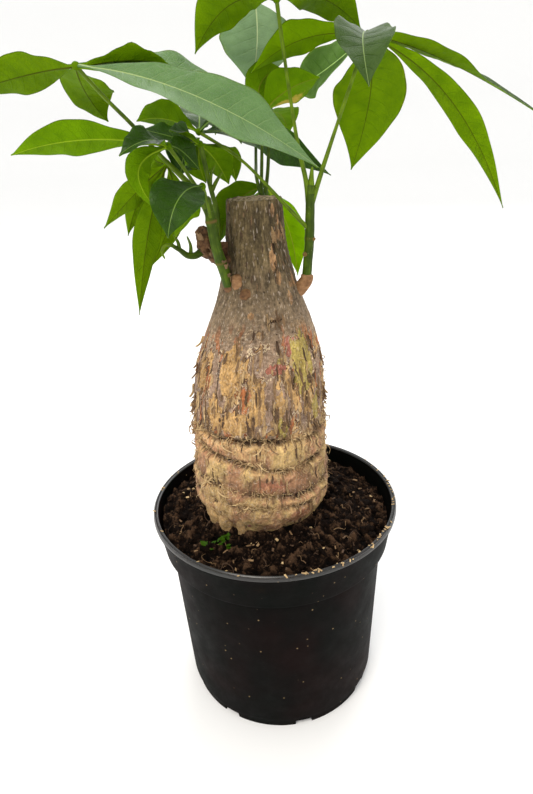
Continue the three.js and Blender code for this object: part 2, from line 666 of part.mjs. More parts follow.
/** One leaflet: a thin blade, folded along its rib, with waved margins. */
function leafletSolid(hub, leaflet, order) {
  const { by, tip, width, faces, fold = 14, wave = 0.9, turn = 0, widest = BLADE.widestAt } = leaflet;
  const [middle, end] = [vec(by), vec(tip)];
  const start = vec(hub).add(middle.clone().sub(vec(hub)).setLength(BLADE.startsAt));
  const pull = middle.clone().multiplyScalar(2).sub(start.clone().add(end).multiplyScalar(0.5));
  const rib = new THREE.QuadraticBezierCurve3(start, pull, end);
  const corners = [];
  const triangles = [];
  for (let station = 0; station <= BLADE.stations; station += 1) {
    const place = station / BLADE.stations;
    const forward = rib.getTangent(place);
    const up = vec(faces).applyAxisAngle(forward, THREE.MathUtils.degToRad(turn * place));
    const across = new THREE.Vector3().crossVectors(forward, up).normalize();
    up.crossVectors(across, forward).normalize();
    const least = THREE.MathUtils.lerp(BLADE.stalkWidth, BLADE.tipWidth, place) / 2;
    const share = outlineAt(place, widest);
    const half = Math.max(0.5 * width * share, least);
    const slope = THREE.MathUtils.degToRad(fold);
    const centre = rib.getPoint(place);
    for (const face of [0.5, -0.5]) {
      for (const side of [-1, 0, 1]) {
        const ripple = wave * share * Math.sin(14 * place + 1.9 * order + 1.6 * side) * Math.abs(side);
        const corner = centre.clone();
        corner.addScaledVector(across, side * half * Math.cos(slope));
        const lift = Math.abs(side) * half * Math.sin(slope);
        corner.addScaledVector(up, lift + ripple + face * BLADE.thickness);
        corners.push(...corner.toArray());
      }
    }
  }
  const loop = [0, 1, 2, 5, 4, 3];
  for (let station = 0; station < BLADE.stations; station += 1) {
    const [near, far] = [6 * station, 6 * station + 6];
    for (const [left, right] of [[0, 1], [1, 2]]) {
      triangles.push(near + left, near + right, far + right, near + left, far + right, far + left);
      const [low, high] = [left + 3, right + 3];
      triangles.push(near + low, far + high, near + high, near + low, far + low, far + high);
    }
    triangles.push(near, far, far + 3, near, far + 3, near + 3);
    triangles.push(near + 2, far + 5, far + 2, near + 2, near + 5, far + 5);
  }
  const last = 6 * BLADE.stations;
  for (let corner = 1; corner < loop.length - 1; corner += 1) {
    triangles.push(loop[0], loop[corner + 1], loop[corner]);
    triangles.push(last + loop[0], last + loop[corner], last + loop[corner + 1]);
  }
  return toSolid(closedGeometry(corners, triangles));
}

/** The ball where a leaf's leaflets meet, grown by a clearance or not. */
function hubSolid(hub, grow = 0) {
  const ball = new THREE.SphereGeometry(BLADE.hubRadius + grow, 7, 5).rotateX(Math.PI / 2);
  return toSolid(ball.translate(...hub));
}

function buildLeaf({ hub, leaflets }) {
  return joined([hubSolid(hub), ...leaflets.map((leaflet, order) => leafletSolid(hub, leaflet, order))]);
}

/** A shoot's stem and stalks, cut clear of the leaves that they carry. */
function buildShoot({ stem, stalks }) {
  const green = joined([stemSolid(stem, { sides: 9 }), ...stalks.map((stalk) => stemSolid(stalk))]);
  return LEAVES.reduce((shoot, leaf) => shoot.subtract(hubSolid(leaf.hub, GAP + BLADE.hubPlay)), green);
}

// ---------------------------------------------------------------- the whole plant

const rightShoot = buildShoot(RIGHT_SHOOT);
const leftShoot = buildShoot(LEFT_SHOOT);
const backShoot = buildShoot(BACK_SHOOT);
const knobShoot = buildShoot(KNOB_SHOOT);
const curledSprout = buildShoot(CURLED_SPROUT);

// The wood is cut clear of each green stem that stands in it.
const seatGap = GAP + 0.05;
const seats = [RIGHT_SHOOT, LEFT_SHOOT, BACK_SHOOT, KNOB_SHOOT, CURLED_SPROUT];
const trunk = seats.reduce(
  (wood, shoot) => wood.subtract(stemSolid(shoot.stem, { grow: seatGap, sides: 9 })),
  buildTrunk(),
);

const plant = new THREE.Group();
plant.add(piece('pot', buildPot(), COLOURS.pot, 0.45));
plant.add(piece('soil', buildSoil(), COLOURS.soil, 0.95));
plant.add(piece('trunk', trunk, COLOURS.bark, 0.85));
plant.add(piece('right_shoot', rightShoot, COLOURS.stem, 0.5));
plant.add(piece('left_shoot', leftShoot, COLOURS.stem, 0.5));
plant.add(piece('back_shoot', backShoot, COLOURS.thinStem, 0.5));
plant.add(piece('knob_shoot', knobShoot, COLOURS.stem, 0.5));
plant.add(piece('curled_sprout', curledSprout, COLOURS.stem, 0.5));
for (const leaf of LEAVES) {
  const colour = leaf.name.startsWith('leaf_back') ? COLOURS.olderLeaf : COLOURS.leaf;
  plant.add(piece(leaf.name, buildLeaf(leaf), colour, 0.4));
}

export default plant;
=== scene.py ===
"""Looks of a potted money tree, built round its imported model.

The tables are in millimetres and MM turns them to metres where a mesh is made. +Z is up, the
origin is on the table under the middle of the pot, and the camera looks along +Y.
"""

import logging
import math
import random
from dataclasses import dataclass
from enum import Enum
from typing import Any, Callable, Sequence

import bmesh
import bpy
from mathutils import Matrix, Vector, noise


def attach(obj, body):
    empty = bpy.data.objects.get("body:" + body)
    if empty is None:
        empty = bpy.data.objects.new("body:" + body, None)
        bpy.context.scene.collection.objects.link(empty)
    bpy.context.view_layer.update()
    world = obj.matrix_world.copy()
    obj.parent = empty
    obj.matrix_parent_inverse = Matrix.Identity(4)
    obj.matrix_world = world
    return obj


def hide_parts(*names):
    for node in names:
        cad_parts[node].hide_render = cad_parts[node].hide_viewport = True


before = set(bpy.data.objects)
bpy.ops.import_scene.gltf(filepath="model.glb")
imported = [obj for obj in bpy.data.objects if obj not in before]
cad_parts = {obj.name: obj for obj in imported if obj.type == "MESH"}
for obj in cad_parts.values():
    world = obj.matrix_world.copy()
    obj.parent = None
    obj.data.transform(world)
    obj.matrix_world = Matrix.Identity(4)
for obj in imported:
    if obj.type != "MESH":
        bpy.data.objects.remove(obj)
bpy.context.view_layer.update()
LOG = logging.getLogger("money_tree")
MM = 0.001
BODY = "root"
VEIN_MM = 5.2  # from one side vein of a leaflet to the next
VEIN_SLANT = 0.42  # how far a side vein runs ahead for each mm that it runs outwards

Point = tuple[float, float, float]
Pair = tuple[float, float]
Shape = Callable[[float, float], Vector]
Socket = bpy.types.NodeSocket
Tree = bpy.types.NodeTree
Material = bpy.types.Material
Piece = bpy.types.Object
Mesh = bmesh.types.BMesh
Corner = bmesh.types.BMVert


# ------------------------------------------------------------------ small helpers


def linear(hex_colour: str) -> tuple[float, float, float, float]:
    """Turns an sRGB hex colour into the linear colour that a shader socket takes.

    Args:
        hex_colour: the colour, such as "#1a2b3c".

    Returns:
        The colour's four linear parts.
    """
    parts = [int(hex_colour[at : at + 2], 16) / 255 for at in (1, 3, 5)]
    red, green, blue = (p / 12.92 if p <= 0.04045 else ((p + 0.055) / 1.055) ** 2.4 for p in parts)
    return red, green, blue, 1.0


def smooth(value: float, start: float, end: float) -> float:
    """Rises smoothly from 0 at start to 1 at end."""
    part = min(1.0, max(0.0, (value - start) / (end - start)))
    return part * part * (3.0 - 2.0 * part)


def bell(distance: float, half_width: float) -> float:
    """Is 1 at no distance and falls away past the half width."""
    return math.exp(-((distance / half_width) ** 2))


def outward(angle: float) -> Vector:
    """Gives the level direction at an angle round the pot's axis."""
    return Vector((math.cos(angle), math.sin(angle), 0))


def degrees_between(angle: float, middle: float) -> float:
    """Gives how far an angle in radians lies past one in degrees, from -180 to 180."""
    return (math.degrees(angle) - middle + 180) % 360 - 180


def curve_through(pairs: Sequence[Pair], place: float) -> float:
    """Reads a smooth curve through (place, value) pairs.

    Args:
        pairs: the places, in rising order, and the value at each.
        place: where to read the curve.

    Returns:
        The value there; past an end, the value at that end.
    """
    if place <= pairs[0][0]:
        return pairs[0][1]
    if place >= pairs[-1][0]:
        return pairs[-1][1]
    at = next(index for index, pair in enumerate(pairs) if pair[0] > place) - 1
    (x1, y1), (x2, y2) = pairs[at], pairs[at + 1]
    x0, y0 = pairs[max(0, at - 1)]
    x3, y3 = pairs[min(len(pairs) - 1, at + 2)]
    span = x2 - x1
    slope1 = (y2 - y0) / max(1e-6, x2 - x0) * span
    slope2 = (y3 - y1) / max(1e-6, x3 - x1) * span
    part = (place - x1) / span
    rise = 3 * (y2 - y1) - 2 * slope1 - slope2
    fall = 2 * (y1 - y2) + slope1 + slope2
    return y1 + slope1 * part + rise * part**2 + fall * part**3


def add_node(
    tree: Tree,
    kind: str,
    *values: Any,
    out: int | str = 0,
    ramp: Sequence[tuple[float, str]] = (),
    **settings: Any,
) -> Socket | None:
    """Adds a shader node.

    Args:
        tree: the material's node tree.
        kind: Blender's name for the node, after the word ShaderNode.
        *values: a value, a hex colour or a socket to link for each input in turn, or one dict of
            them by the inputs' names or numbers.
        out: which output to give back.
        ramp: the stops of a colour ramp, as (place, hex colour).
        **settings: the node's own properties.

    Returns:
        The output, if the node has one.
    """
    node = tree.nodes.new(f"ShaderNode{kind}")
    for key, value in settings.items():
        setattr(node, key, value)
    inputs = values[0] if values and isinstance(values[0], dict) else dict(enumerate(values))
    for key, value in inputs.items():
        if isinstance(value, Socket):
            tree.links.new(value, node.inputs[key])
        else:
            node.inputs[key].default_value = linear(value) if isinstance(value, str) else value
    if ramp:
        stops = node.color_ramp.elements
        stops.remove(stops[1])
        stops[0].position, stops[0].color = ramp[0][0], linear(ramp[0][1])
        for place, colour in ramp[1:]:
            stops.new(place).color = linear(colour)
    return node.outputs[out] if node.outputs else None


def per_mm(size: float) -> float:
    """Gives the scale of a texture in metres whose grains have a size in mm."""
    return 1 / (size * MM)


def times(tree: Tree, *values: Any) -> Socket:
    """Multiplies numbers, of which one at least is a socket.

    Args:
        tree: the material's node tree.
        *values: the numbers, or sockets that give them.

    Returns:
        The product's socket.
    """
    product = values[0]
    for value in values[1:]:
        product = add_node(tree, "Math", product, value, operation="MULTIPLY")
    return product


def painted(tree: Tree, colour: Any, *coats: tuple[Any, Any]) -> Socket:
    """Lays coats over a colour.

    Args:
        tree: the material's node tree.
        colour: what lies below.
        *coats: how much each coat covers, and its colour.

    Returns:
        The colour on top.
    """
    for share, coat in coats:
        colour = add_node(tree, "Mix", {0: share, 6: colour, 7: coat}, out=2, data_type="RGBA")
    return colour


def shaded(tree: Tree, colour: Any, *factors: Socket) -> Socket:
    """Makes a colour darker or lighter by factors.

    Args:
        tree: the material's node tree.
        colour: the colour, or a socket that gives it.
        *factors: the numbers, or sockets that give them.

    Returns:
        The new colour's socket.
    """
    for factor in factors:
        inputs = {0: 1.0, 6: colour, 7: add_node(tree, "CombineXYZ", factor, factor, factor)}
        colour = add_node(tree, "Mix", inputs, out=2, data_type="RGBA", blend_type="MULTIPLY")
    return colour


def wiry(tree: Tree, value: Socket, level: float, half_width: float, most: float) -> Socket:
    """Gives thin lines where a value passes a level.

    Args:
        tree: the material's node tree.
        value: what passes the level.
        level: where the lines lie.
        half_width: how far from the level they end.
        most: how plain they are in their middle.

    Returns:
        The lines.
    """
    apart = add_node(tree, "Math", value, level, operation="SUBTRACT")
    away = add_node(tree, "Math", apart, operation="ABSOLUTE")
    return add_node(tree, "MapRange", away, half_width, 0.3 * half_width, 0.0, most)


def read_layers(tree: Tree, *names: str) -> list[Socket]:
    """Reads layers of numbers that the mesh carries."""
    return [add_node(tree, "Attribute", attribute_name=name, out="Fac") for name in names]


def mapped_grid(mesh: Mesh, across: int, along: int, shape: Shape) -> list[Corner]:
    """Adds a grid and bends it to a shape.

    Args:
        mesh: the mesh that gets the grid.
        across: faces in the first direction.
        along: faces in the second direction.
        shape: gives each corner's place, in mm, for two numbers from 0 to 1.

    Returns:
        The grid's corners.
    """
    made = bmesh.ops.create_grid(mesh, x_segments=across, y_segments=along, size=0.5)["verts"]
    for corner in made:
        corner.co = shape(corner.co.x + 0.5, corner.co.y + 0.5) * MM
    return made


def spun(outline: Sequence[Pair], steps: int) -> Mesh:
    """Spins a section round the pot's axis.

    Args:
        outline: the radius and height of each corner of the section, in mm.
        steps: faces round the axis.

    Returns:
        The mesh, in metres.
    """
    mesh = bmesh.new()
    corners = [mesh.verts.new(Vector((radius, 0, height)) * MM) for radius, height in outline]
    wire = [mesh.edges.new(pair) for pair in zip(corners, corners[1:])]
    about = {"cent": (0, 0, 0), "axis": (0, 0, 1), "angle": math.tau}
    bmesh.ops.spin(mesh, geom=corners + wire, steps=steps, use_merge=True, **about)
    bmesh.ops.remove_doubles(mesh, verts=mesh.verts, dist=1e-6)
    return mesh


def thicken(mesh: Mesh, thickness: float) -> None:
    """Gives thin sheets a thickness in mm and turns their faces outwards."""
    bmesh.ops.solidify(mesh, geom=mesh.faces[:], thickness=thickness * MM)
    bmesh.ops.recalc_face_normals(mesh, faces=mesh.faces)


def tumbled(dice: random.Random, tilt: float) -> Matrix:
    """Turns a scrap any way round and tilts it by up to so many radians."""
    around, over = dice.uniform(0, math.tau), dice.uniform(-tilt, tilt)
    return Matrix.Rotation(around, 3, "Z") @ Matrix.Rotation(over, 3, "X")


def close_up(mesh: Mesh) -> None:
    """Closes the open ends of a mesh and turns its faces outwards.

    Args:
        mesh: the mesh.
    """
    rims = [edge for edge in mesh.edges if edge.is_boundary]
    if rims:
        bmesh.ops.holes_fill(mesh, edges=rims, sides=0)
    bmesh.ops.recalc_face_normals(mesh, faces=mesh.faces)


def placed_object(name: str, mesh: Mesh, materials: Sequence[Material] = ()) -> Piece:
    """Makes an object of a mesh and puts it in the scene.

    Args:
        name: the object's name.
        mesh: its mesh, in metres, which is used up.
        materials: its materials, in the order of its faces' material numbers.

    Returns:
        The new object.
    """
    data = bpy.data.meshes.new(name)
    mesh.to_mesh(data)
    mesh.free()
    for material in materials:
        data.materials.append(material)
    data.shade_smooth()
    piece = bpy.data.objects.new(name, data)
    bpy.context.scene.collection.objects.link(piece)
    return piece


def finished_piece(
    name: str,
    mesh: Mesh,
    materials: Sequence[Material],
    nodes: Sequence[str] = (),
    crease: float = 50.0,
) -> Piece:
    """Makes an object of a mesh and joins it to the frame.

    Args:
        name: the piece's name.
        mesh: its mesh, in metres, which is used up.
        materials: its materials, in the order of its faces' material numbers.
        nodes: the solids that it stands for.
        crease: edges sharper than this, in degrees, stay sharp.

    Returns:
        The new object.
    """
    piece = placed_object(name, mesh, materials)
    piece.data.set_sharp_from_angle(angle=math.radians(crease))
    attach(piece, BODY)
    if nodes:
        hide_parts(*nodes)
    LOG.info("%s: %d faces", name, len(piece.data.polygons))
    return piece


class Path:
    """A smooth line through way points, with cross directions that don't twist."""

    STEPS = 16  # points on each leg

    def __init__(self, way: Sequence[Point]) -> None:
        """Lays the line.

        Args:
            way: the points that it passes, in mm.
        """
        points = [Vector(point) for point in way]
        points = [2 * points[0] - points[1], *points, 2 * points[-1] - points[-2]]
        line = []
        for leg in range(1, len(points) - 2):
            for step in range(self.STEPS):
                line.append(self._between(points[leg - 1 : leg + 3], step / self.STEPS))
        self.line = [*line, points[-2]]
        self.reach = [0.0]
        for here, there in zip(self.line, self.line[1:]):
            self.reach.append(self.reach[-1] + (there - here).length)
        self.length = self.reach[-1]
        self.forward = [self._direction(index) for index in range(len(self.line))]
        side = self.forward[0].orthogonal().normalized()
        self.side = []
        for forward in self.forward:
            side = (side - forward * side.dot(forward)).normalized()
            self.side.append(side)

    @staticmethod
    def _between(corners: Sequence[Vector], part: float) -> Vector:
        """Finds a point of the leg between the middle two of four points.

        Args:
            corners: the four points.
            part: how much of the leg lies before the point.

        Returns:
            The point.
        """
        before, start, end, after = corners
        gaps = [max(1e-3, math.sqrt((b - a).length)) for a, b in zip(corners, corners[1:])]
        leave = (start - before) / gaps[0] - (end - before) / (gaps[0] + gaps[1]) + (end - start) / gaps[1]
        arrive = (end - start) / gaps[1] - (after - start) / (gaps[1] + gaps[2]) + (after - end) / gaps[2]
        leave, arrive = leave * gaps[1], arrive * gaps[1]
        rise = 3 * (end - start) - 2 * leave - arrive
        fall = 2 * (start - end) + leave + arrive
        return start + leave * part + rise * part**2 + fall * part**3

    def _direction(self, index: int) -> Vector:
        """Finds the direction of the line at one of its points."""
        low, high = max(0, index - 1), min(len(self.line) - 1, index + 1)
        return (self.line[high] - self.line[low]).normalized()

    def frame(self, share: float) -> tuple[Vector, Vector, Vector]:
        """Finds the middle and two cross directions at a share of the way.

        Args:
            share: how much of the way lies behind, from 0 to 1.

        Returns:
            The middle and the two directions.
        """
        want = min(1.0, max(0.0, share)) * self.length
        after = next((k for k, r in enumerate(self.reach) if r >= want), 1)
        index = max(0, min(len(self.reach) - 2, after - 1))
        step = self.reach[index + 1] - self.reach[index]
        part = (want - self.reach[index]) / max(step, 1e-9)
        centre = self.line[index].lerp(self.line[index + 1], part)
        forward = self.forward[index].lerp(self.forward[index + 1], part).normalized()
        side = self.side[index].lerp(self.side[index + 1], part)
        side = (side - forward * side.dot(forward)).normalized()
        return centre, side, forward.cross(side)


class Coat:
    """The named number layers of a mesh that its material reads."""

    def __init__(self, mesh: Mesh, *names: str) -> None:
        """Adds a number layer to the corners of a mesh for each name."""
        self.layers = {name: mesh.verts.layers.float.new(name) for name in names}

    def put(self, corner: Corner, **values: float) -> None:
        """Writes the named numbers on a corner."""
        for name, value in values.items():
            corner[self.layers[name]] = value


def add_tube(
    mesh: Mesh,
    coat: Coat,
    path: Path,
    radius: Callable[[float, float], float],
    sides: int,
    rings: int,
    **values: float,
) -> list[Corner]:
    """Adds a closed tube along a path.

    Args:
        mesh: the mesh that gets it.
        coat: its layers "along" and "across" get the place on the tube in mm.
        path: the tube's middle line.
        radius: the radius in mm at an angle and a share of the way.
        sides: faces round it.
        rings: faces along it.
        **values: other layers' numbers, the same all over the tube.

    Returns:
        The tube's corners.
    """
    made = bmesh.ops.create_grid(mesh, x_segments=sides, y_segments=rings, size=0.5)["verts"]
    frames = {}
    for corner in made:
        turn, share = corner.co.x + 0.5, min(1.0, max(0.0, corner.co.y + 0.5))
        key = round(share, 5)
        if key not in frames:
            frames[key] = path.frame(share)
        centre, side, other = frames[key]
        angle = 2 * math.pi * turn
        reach = radius(angle, share)
        corner.co = (centre + side * (reach * math.cos(angle)) + other * (reach * math.sin(angle))) * MM
        coat.put(corner, along=share * path.length, across=abs(turn - 0.5) * 2 * math.pi * reach, **values)
    bmesh.ops.remove_doubles(mesh, verts=made, dist=1e-7)
    return [corner for corner in made if corner.is_valid]


# ------------------------------------------------------------------ finishes


class Finish:
    """A material that a piece is dressed in."""

    name: str

    def recipe(self, tree: Tree) -> dict[str, Any]:
        """Gives what the main shader's sockets take."""
        raise NotImplementedError

    def make(self) -> Material:
        """Makes the material.

        Returns:
            The material.
        """
        material = bpy.data.materials.new(self.name)
        material.use_nodes = True
        tree = material.node_tree
        tree.nodes.clear()
        add_node(tree, "OutputMaterial", add_node(tree, "BsdfPrincipled", self.recipe(tree)))
        return material


@dataclass(frozen=True)
class PotPolypropylene(Finish):
    """Injection-moulded black polypropylene: matt, faintly orange-peeled, with dried soil specks."""

    name: str = "moulded_black_polypropylene"
    body: str = "#0d0a09"
    cooler: str = "#090b09"
    warmer: str = "#140b0a"
    dust: str = "#8f7a58"
    cloud_mm: float = 36.0
    grain_mm: float = 0.9
    speck_mm: float = 2.6
    smear_mm: float = 11.0
    shine: float = 0.022
    roughness: Pair = (0.5, 0.7)

    def recipe(self, tree: Tree) -> dict[str, Any]:
        """Clouds the black a little and strews specks over it.

        Args:
            tree: the material's node tree.

        Returns:
            What each socket of the main shader takes.
        """
        place = add_node(tree, "TexCoord", out="Object")
        cloud = add_node(tree, "TexNoise", {"Vector": place, "Scale": per_mm(self.cloud_mm)})
        ramp = [(0.36, self.cooler), (0.5, self.body), (0.64, self.warmer)]
        tint = add_node(tree, "ValToRGB", cloud, ramp=ramp)
        # Specks of dried soil: small cells, of which only the few with a high random number show.
        cells = add_node(tree, "TexVoronoi", {"Vector": place, "Scale": per_mm(self.speck_mm)})
        chance = add_node(tree, "SeparateColor", cells.node.outputs["Color"])
        rare = add_node(tree, "MapRange", chance, 0.93, 0.97)
        speck = times(tree, rare, add_node(tree, "MapRange", cells, 0.2, 0.08))
        smear = add_node(
            tree,
            "TexNoise",
            {"Vector": place, "Scale": per_mm(self.smear_mm), "Detail": 6.0, "Roughness": 0.7},
        )
        smudge = add_node(tree, "MapRange", smear, 0.62, 0.85, 0.0, 0.03)
        dirt = add_node(tree, "Math", speck, smudge, operation="MAXIMUM")
        grain = add_node(tree, "TexNoise", {"Vector": place, "Scale": per_mm(self.grain_mm)})
        return {
            "Base Color": painted(tree, tint, (dirt, self.dust)),
            "Roughness": add_node(tree, "MapRange", smear, 0.3, 0.8, *self.roughness),
            "Normal": add_node(tree, "Bump", {"Height": grain, "Strength": 0.25, "Distance": 0.0001}),
            "IOR": 1.49,
            "Specular IOR Level": self.shine,
        }


# The lip is glossier, and its lighter colour is a painted highlight.
LIP_WITH_PAINTED_HIGHLIGHT = PotPolypropylene(
    name="glossy_lip_polypropylene_painted_highlight",
    body="#1d1a18",
    cooler="#191a18",
    warmer="#221c19",
    grain_mm=1.6,
    shine=0.62,
    roughness=(0.24, 0.4),
)


@dataclass(frozen=True)
class Peat(Finish):
    """Damp peat compost: near black in its hollows as painted shade, red-brown on its lumps, partly dry and
    partly painted light, full of fibres.

    It reads the layer "lump", from 0 in a hollow to 1 on a lump.
    """

    name: str = "damp_peat_compost"
    hollow_shade: str = "#040201"
    body: str = "#180e08"
    dry: str = "#56402f"
    fibre: str = "#7b5f45"
    crumb_mm: float = 1.1
    fibre_mm: float = 1.9

    def recipe(self, tree: Tree) -> dict[str, Any]:
        """Lightens the lumps and draws the fibres.

        Args:
            tree: the material's node tree.

        Returns:
            What each socket of the main shader takes.
        """
        place = add_node(tree, "TexCoord", out="Object")
        (lump,) = read_layers(tree, "lump")
        crumbs = add_node(
            tree,
            "TexNoise",
            {"Vector": place, "Scale": per_mm(self.crumb_mm), "Detail": 7.0, "Roughness": 0.78},
        )
        # From the hollows to the lumps the colour runs from painted shade to lighter peat, partly dry and partly
        # painted light.
        level = add_node(tree, "MapRange", add_node(tree, "Math", lump, crumbs, operation="ADD"), 0.62, 1.36)
        ramp = [(0.0, self.hollow_shade), (0.5, self.body), (1.0, self.dry)]
        colour = add_node(tree, "ValToRGB", level, ramp=ramp)
        # Fine fibres lie all over it, plainest on the lumps and lost in the painted shade of the hollows.
        strands = add_node(tree, "TexNoise", {"Vector": place, "Scale": per_mm(self.fibre_mm), "Detail": 1.0})
        shown = times(tree, wiry(tree, strands, 0.5, 0.012, 0.55), add_node(tree, "MapRange", lump, 0.35, 0.8))
        return {
            "Base Color": painted(tree, colour, (shown, self.fibre)),
            "Roughness": 0.8,
            "Normal": add_node(tree, "Bump", {"Height": crumbs, "Strength": 1.0, "Distance": 0.0012}),
            "Specular IOR Level": 0.07,
        }


@dataclass(frozen=True)
class TrunkBark(Finish):
    """Bark of a money tree: fissured grey-brown neck, mauve film that peels off ochre, a tan foot."""

    name: str = "money_tree_bark"
    neck: str = "#65563b"
    shoulder: str = "#826e57"
    film: str = "#8d7460"
    foot: str = "#bd9e69"
    bare: str = "#bb9460"  # where the film has come off
    skin: str = "#a5775a"  # film that is left on the foot
    blush: str = "#a0614a"
    tan: str = "#9c7853"  # flaps on the neck
    ochre: str = "#b6905c"
    lime: str = "#ac9752"
    red: str = "#9c6250"
    ribbon: str = "#a8683f"
    torn: str = "#50281a"  # painted shadow under a torn edge, also painted into the thin cracks
    lip: str = "#e0c8a0"  # the pale torn edge, partly its own colour and partly a painted highlight on the raised lip
    # Painted shade in the creases, the gashes, the buried roots and the small pores.
    crevice_shade: str = "#2a1a10"
    scratch: str = "#cbb9a6"
    fissure_mm: float = 1.5
    fray_mm: float = 1.7
    blotch_mm: float = 9.0
    fine_mm: float = 1.1
    # Heights, in metres, that a change runs over.
    toned: Pair = (0.14, 0.29)
    film_starts: Pair = (0.158, 0.166)
    peeling_ends: Pair = (0.227, 0.215)
    neck_starts: Pair = (0.206, 0.238)

    def recipe(self, tree: Tree) -> dict[str, Any]:
        """Joins the tones, the torn layers, the light and dark of the relief, and the marks.

        Args:
            tree: the material's node tree.

        Returns:
            What each socket of the main shader takes.
        """
        place = add_node(tree, "TexCoord", out="Object")
        height = add_node(tree, "SeparateXYZ", place, out="Z")
        upright = add_node(tree, "Mapping", {"Vector": place, "Scale": (1.0, 1.0, 0.16)})
        fissure, blotch, frayed, fine = (
            add_node(
                tree,
                "TexNoise",
                {"Vector": where, "Scale": per_mm(grain), "Detail": detail, "Roughness": roughness},
            )
            for where, grain, detail, roughness in (
                (upright, self.fissure_mm, 5.0, 0.7),
                (place, self.blotch_mm, 5.0, 0.65),
                (place, self.fray_mm, 3.0, 0.6),
                (place, self.fine_mm, 3.0, 0.5),
            )
        )
        fray = add_node(tree, "Math", frayed, 0.5, operation="SUBTRACT")
        zone = add_node(tree, "Math", blotch, 0.02, height, operation="MULTIPLY_ADD")
        base = add_node(
            tree,
            "ValToRGB",
            add_node(tree, "MapRange", zone, *self.toned),
            ramp=[
                (0.2, self.foot), (0.25, self.film), (0.45, self.film), (0.56, self.shoulder), (0.76, self.neck),
            ],
        )
        colour, steps = self.peel(tree, base, height, zone, fray)
        smoothness = add_node(tree, "MapRange", height, *self.neck_starts, 0.25, 1.0)
        cracks = add_node(tree, "MapRange", fissure, 0.36, 0.64, 0.42, 1.34)
        cracks = add_node(tree, "Math", cracks, 1.0, operation="SUBTRACT")
        # Darkened and lightened by: painted shade in the neck's fissures with lighter ridges between them, a
        # random mottle, the relief layer's painted light and shade, a darkening towards the bottom of the foot,
        # and fine grain.
        colour = shaded(
            tree,
            colour,
            add_node(tree, "Math", cracks, smoothness, 1.0, operation="MULTIPLY_ADD"),
            add_node(tree, "MapRange", blotch, 0.35, 0.65, 0.74, 1.28),
            add_node(tree, "MapRange", *read_layers(tree, "relief"), 0.1, 0.9, 0.5, 1.45),
            add_node(tree, "MapRange", zone, 0.136, 0.156, 0.8, 1.0),
            add_node(tree, "MapRange", fine, 0.3, 0.7, 0.72, 1.26),
        )
        rough = add_node(tree, "Math", fine, 0.5, times(tree, fissure, smoothness), operation="MULTIPLY_ADD")
        rough = add_node(tree, "Math", rough, steps, operation="ADD")
        return {
            "Base Color": self.marks(tree, colour, place, height, upright),
            "Roughness": 0.78,
            "Normal": add_node(tree, "Bump", {"Height": rough, "Strength": 0.9, "Distance": 0.0011}),
            "Specular IOR Level": 0.22,
        }

    def peel(
        self, tree: Tree, base: Socket, height: Socket, zone: Socket, fray: Socket
    ) -> tuple[Socket, Socket]:
        """Lays the bare plates, ribbons and patches over the base, each with a torn edge drawn as a painted
        shadow and a pale lip that is partly painted highlight, and darkens the crevices with painted shade.

        Args:
            tree: the material's node tree.
            base: the colour of the unbroken bark.
            height: the height above the table, in metres.
            zone: the height, with a wandering error.
            fray: small noise that frays the edges.

        Returns:
            The colour, and how high the torn layers stand, for the bump.
        """
        plate, ribbon, ochre, lime, red, tan, blush, crevice_shade = read_layers(
            tree, "plate", "ribbon", "ochre", "lime", "red", "tan", "blush", "crevice_shade"
        )
        above = add_node(tree, "MapRange", height, *self.film_starts)
        below = add_node(tree, "Math", 1.0, above, operation="SUBTRACT")
        peeling = times(tree, add_node(tree, "MapRange", zone, *self.peeling_ends), above)
        # On the foot the film thins out softly, and it is torn only higher up.
        film = add_node(tree, "Math", fray, 0.25, plate, operation="MULTIPLY_ADD")
        film = add_node(tree, "MapRange", film, 0.36, 0.66, 0.0, 0.85)
        filmed, blushing = (times(tree, film, below), self.skin), (times(tree, blush, 0.6), self.blush)
        colour = painted(tree, base, filmed, blushing)
        steps: Any = 0.0
        # The number layer, its raggedness, where it starts, the width of its edge, its colour and its most.
        for layer, ragged, level, edge, tone, most in (
            (plate, 0.12, 0.56, 0.02, self.bare, peeling),
            (ribbon, 0.1, 0.62, 0.02, self.ribbon, peeling),
            (tan, 0.6, 0.45, 0.06, self.tan, 1.0),
            (red, 0.6, 0.45, 0.1, self.red, 1.0),
            (ochre, 0.5, 0.45, 0.06, self.ochre, 1.0),
            (lime, 0.5, 0.45, 0.06, self.lime, 1.0),
        ):
            frayed = add_node(tree, "Math", fray, ragged, layer, operation="MULTIPLY_ADD")
            share = times(tree, add_node(tree, "MapRange", frayed, level, level + edge), most)
            # Along each torn edge lie a painted shadow and, just outside it, a pale lip that is partly a painted
            # highlight.
            colour = painted(
                tree,
                colour,
                (share, tone),
                (times(tree, wiry(tree, frayed, level, 0.8 * edge, 0.75), most), self.torn),
                (times(tree, wiry(tree, frayed, level - 1.5 * edge, 0.6 * edge, 0.8), most), self.lip),
            )
            steps = add_node(tree, "Math", share, -0.35, steps, operation="MULTIPLY_ADD")
        # Painted shade darkens the creases and the gashes.
        dark = add_node(tree, "Math", fray, 0.9, crevice_shade, operation="MULTIPLY_ADD")
        dark = add_node(tree, "MapRange", dark, 0.22, 0.85, 0.0, 0.9)
        return painted(tree, colour, (dark, self.crevice_shade)), steps

